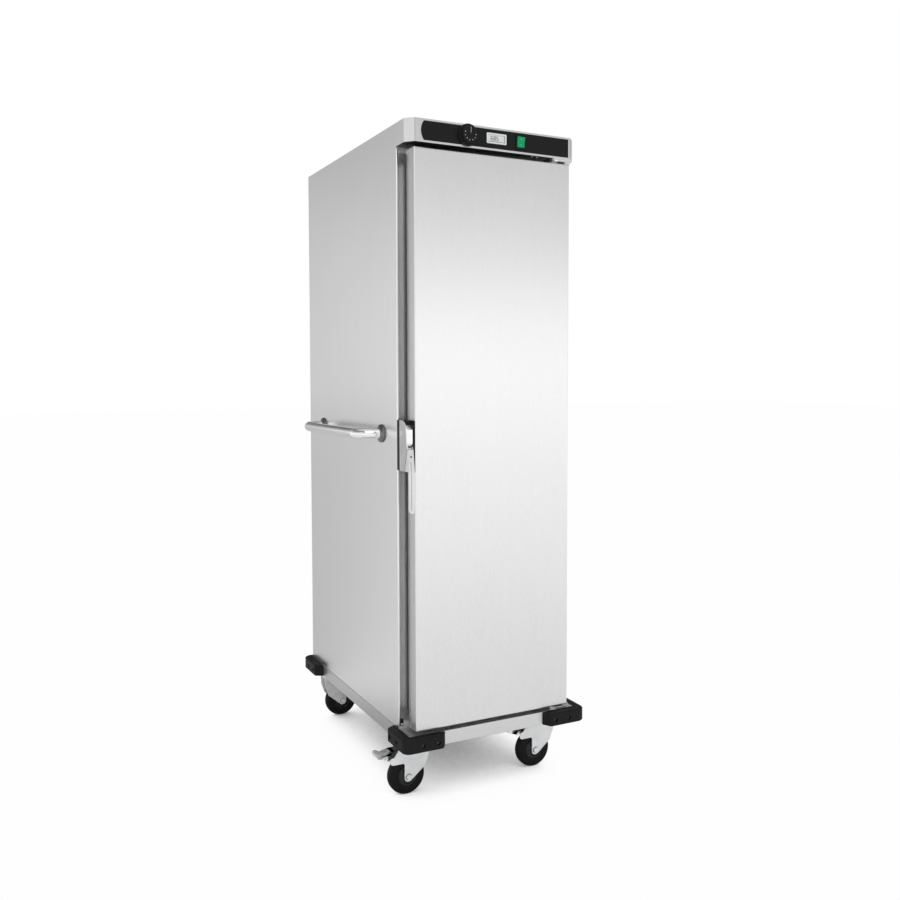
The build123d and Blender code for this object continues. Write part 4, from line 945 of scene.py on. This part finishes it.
# Studio. Stops are pairs of a place and a level of grey, 1 being white.
floor_in_metal = (
    (0.0, 0.46), (0.02, 0.62), (0.045, 0.76), (0.08, 0.72), (0.16, 0.735), (0.27, 0.785),
    (0.43, 0.85), (0.72, 0.93), (1.0, 1.0),
)
floor_shadow = ((0.0, 0.15), (0.15, 0.25), (0.22, 0.45), (0.32, 0.75), (0.45, 0.95), (0.55, 0.99))
walls_in_front = (
    (0.0, 1.0), (0.06, 1.0), (0.10, 0.93), (0.18, 0.71), (0.26, 0.56), (0.42, 0.42), (0.6, 0.14),
    (1.0, 0.7),
)
walls_behind = (
    (0.0, 0.57), (0.05, 0.53), (0.15, 0.52), (0.24, 0.34), (0.34, 0.12), (0.85, 0.12), (1.0, 0.7),
)
REARWARDS = (0.10, 0.995, 0.0)

# The photograph's camera, solved from the cabinet's edges: metres, radians and pixels
camera_place = (-1.17125, -2.5005, 1.0973)
camera_tip = 0.05276
camera_roll = 0.00214
camera_heading = -0.46583
focal_pixels = 926.52
picture_pixels = 900.0
sensor_mm = 36.0


def level_of(grey_level):
    """A grey as a colour socket takes it."""
    return (grey_level, grey_level, grey_level, 1)


def leaning(tree, direction, way, low, high):
    """How far a direction leans a way, as a smooth step between two levels."""
    lean = new_node(tree, "ShaderNodeVectorMath", i0=direction, i1=way)
    lean.operation = "DOT_PRODUCT"
    inputs = {"Value": lean.outputs["Value"], "From_Min": low, "From_Max": high}
    step = new_node(tree, "ShaderNodeMapRange", **inputs)
    step.interpolation_type = "SMOOTHSTEP"
    return step.outputs["Result"]


def grey_ramp(tree, place, stops):
    """A grey Color Ramp through its stops."""
    ramp = new_node(tree, "ShaderNodeValToRGB", Fac=place)
    while len(ramp.color_ramp.elements) < len(stops):
        ramp.color_ramp.elements.new(0.5)
    for element, (spot, level) in zip(ramp.color_ramp.elements, stops):
        element.position = spot
        element.color = level_of(level)
    return ramp.outputs["Color"]


def floor_for_metal(tree, here):
    """The floor's grey as metal mirrors it: paler with distance, and an even grey towards the rear."""
    distance = new_node(tree, "ShaderNodeVectorMath", i0=here)
    distance.operation = "LENGTH"
    inputs = {"Value": distance.outputs["Value"], "From_Min": 0.4, "From_Max": 9.0}
    far = new_node(tree, "ShaderNodeMapRange", **inputs).outputs["Result"]
    towards = new_node(tree, "ShaderNodeVectorMath", i0=here)
    towards.operation = "NORMALIZE"
    behind = leaning(tree, towards.outputs["Vector"], REARWARDS, 0.70, 0.93)
    return colour_mix(tree, behind, grey_ramp(tree, far, floor_in_metal), level_of(0.50))


def studio_floor():
    """A pale floor that the camera sees white, with the cart's soft shadow."""
    reach = 30.0
    square = [(-reach, -reach, 0), (reach, -reach, 0), (reach, reach, 0), (-reach, reach, 0)]
    mesh = bpy.data.meshes.new("floor")
    mesh.from_pydata(square, [], [(0, 1, 2, 3)])
    floor = bpy.data.objects.new("floor", mesh)
    bpy.context.scene.collection.objects.link(floor)
    made = bpy.data.materials.new("pale_floor")
    made.use_nodes = True
    tree = made.node_tree
    here = tree.nodes.new("ShaderNodeTexCoord").outputs["Object"]
    path = tree.nodes.new("ShaderNodeLightPath").outputs
    mirrored = floor_for_metal(tree, here)
    colour = colour_mix(tree, path["Is Glossy Ray"], level_of(0.82), mirrored)
    shader = tree.nodes["Principled BSDF"]
    wired(tree, shader, Base_Color=colour, Roughness=0.9, Specular_IOR_Level=0.0)
    near = new_node(tree, "ShaderNodeAmbientOcclusion", Distance=0.5)
    near.samples = 16
    shade = grey_ramp(tree, near.outputs["AO"], floor_shadow)
    seen = new_node(tree, "ShaderNodeEmission", Color=shade).outputs[0]
    inputs = {"i0": path["Is Camera Ray"], "i1": shader.outputs[0], "i2": seen}
    surface = new_node(tree, "ShaderNodeMixShader", **inputs).outputs[0]
    wired(tree, tree.nodes["Material Output"], Surface=surface)
    mesh.materials.append(made)


def studio_world():
    """White to the camera and to soft light. Metal sees it dim upwards, and dimmer to the rear."""
    world = bpy.data.worlds.new("studio")
    bpy.context.scene.world = world
    world.use_nodes = True
    tree = world.node_tree
    tree.nodes.clear()
    direction = tree.nodes.new("ShaderNodeTexCoord").outputs["Generated"]
    rise = new_node(tree, "ShaderNodeSeparateXYZ", i0=direction).outputs["Z"]
    behind = leaning(tree, direction, REARWARDS, 0.80, 0.95)
    front_grey = grey_ramp(tree, rise, walls_in_front)
    seen = colour_mix(tree, behind, front_grey, grey_ramp(tree, rise, walls_behind))
    # Grey flags straight in front and behind to the right, each a way, two edges and a level
    flags = (((-0.05, -0.9987, 0.0), 0.965, 0.995, 0.45), ((0.42, 0.9075, 0.0), 0.90, 0.98, 0.2))
    for way, edge, core, level in flags:
        flag = grey_ramp(tree, leaning(tree, direction, way, edge, core), ((0.0, 1.0), (1.0, level)))
        seen = colour_mix(tree, 1.0, seen, flag, "MULTIPLY")
    pale_left = leaning(tree, direction, (-0.92, -0.36, 0.15), 0.90, 0.98)
    seen = colour_mix(tree, pale_left, seen, level_of(0.80))
    to_right = leaning(tree, direction, (1.0, 0.0, 0.0), 0.44, 0.66)
    dimmer = grey_ramp(tree, to_right, ((0.0, 1.0), (1.0, 0.86)))
    seen = colour_mix(tree, 1.0, seen, dimmer, "MULTIPLY")
    path = tree.nodes.new("ShaderNodeLightPath").outputs
    white = new_node(tree, "ShaderNodeBackground", Color=level_of(1.0)).outputs[0]
    dimmed = new_node(tree, "ShaderNodeBackground", Color=seen).outputs[0]
    inputs = {"i0": path["Is Glossy Ray"], "i1": white, "i2": dimmed}
    surface = new_node(tree, "ShaderNodeMixShader", **inputs).outputs[0]
    new_node(tree, "ShaderNodeOutputWorld", Surface=surface)


def soft_lamp(name, place, aim, size, power):
    """A large rectangular lamp at a place in metres, turned towards a point."""
    lamp = bpy.data.lights.new(name, "AREA")
    lamp.shape = "RECTANGLE"
    lamp.size, lamp.size_y = size
    lamp.energy = power
    holder = bpy.data.objects.new(name, lamp)
    bpy.context.scene.collection.objects.link(holder)
    holder.location = place
    away = np.array(place, dtype=float) - np.array(aim, dtype=float)
    across = np.cross((0, 0, 1), away)
    heading = math.atan2(across[1], across[0])
    holder.rotation_euler = (math.acos(away[2] / np.linalg.norm(away)), 0, heading)


def photo_camera():
    """The photograph's camera, at its place, with its tilt, its heading and its lens."""
    lens = bpy.data.cameras.new("photo_camera")
    lens.sensor_width = sensor_mm
    lens.lens = sensor_mm * focal_pixels / picture_pixels
    lens.shift_x = 0.0003
    lens.shift_y = -0.0257
    lens.clip_end = 200.0
    camera = bpy.data.objects.new("photo_camera", lens)
    bpy.context.scene.collection.objects.link(camera)
    camera.location = camera_place
    camera.rotation_euler = (math.pi / 2 - camera_tip, camera_roll, camera_heading)
    bpy.context.scene.camera = camera


# The width in mm of the round on the edges of each CAD node that only needs softening
edge_width = {
    "control_fascia": 0.25,
    "door_inner_pan": 0.5,
    "hinge_bracket_top": 1.0,
    "hinge_bracket_bottom": 1.0,
    "latch_lever": 0.8,
    "latch_strike": 0.6,
    "latch_pad": 0.6,
    "strike_plate": 0.3,
    "thermometer_case": 0.6,
    "switch_case": 0.8,
    "switch_rocker": 0.5,
    "power_inlet": 0.5,
}
for node, width in edge_width.items():
    softened(node, width)
softened("control_housing", 0.7, whole_flats=False)
base = softened("base_frame", 1.0, whole_flats=False)
# Painted shade: the base's sides get the darker steel
sideways_faces(base, "painted_shade_steel")
door_front()
side_handle()
handle_feet()
for corner in caster_corners:
    softened("bumper_" + corner, 1.2)
    softened("caster_fork_" + corner, 0.8)
    caster_wheel(corner)
for corner in swivel_x:
    brake_part(corner, "block", False, "brake_plastic")
    brake_part(corner, "tip", True, "zinc")
axle_washers()
latch_cover()
latch_front()
lever_marks()
display()
knob_marks()
rocker_marks()
painted_shadow_lines()
head_shade_sheet()
back_screws()
front_hems()
roof_rear_flange()
lower_joints()

studio_floor()
studio_world()
soft_lamp("front_softbox", (2.9, -5.2, 1.35), (0.0, 0.0, 1.2), (5.0, 1.1), 5.0)
soft_lamp("top_softbox", (-1.8, -3.6, 4.4), (0.0, 0.0, 0.9), (4.2, 4.2), 45.0)
photo_camera()
bpy.context.scene.view_settings.view_transform = "Standard"
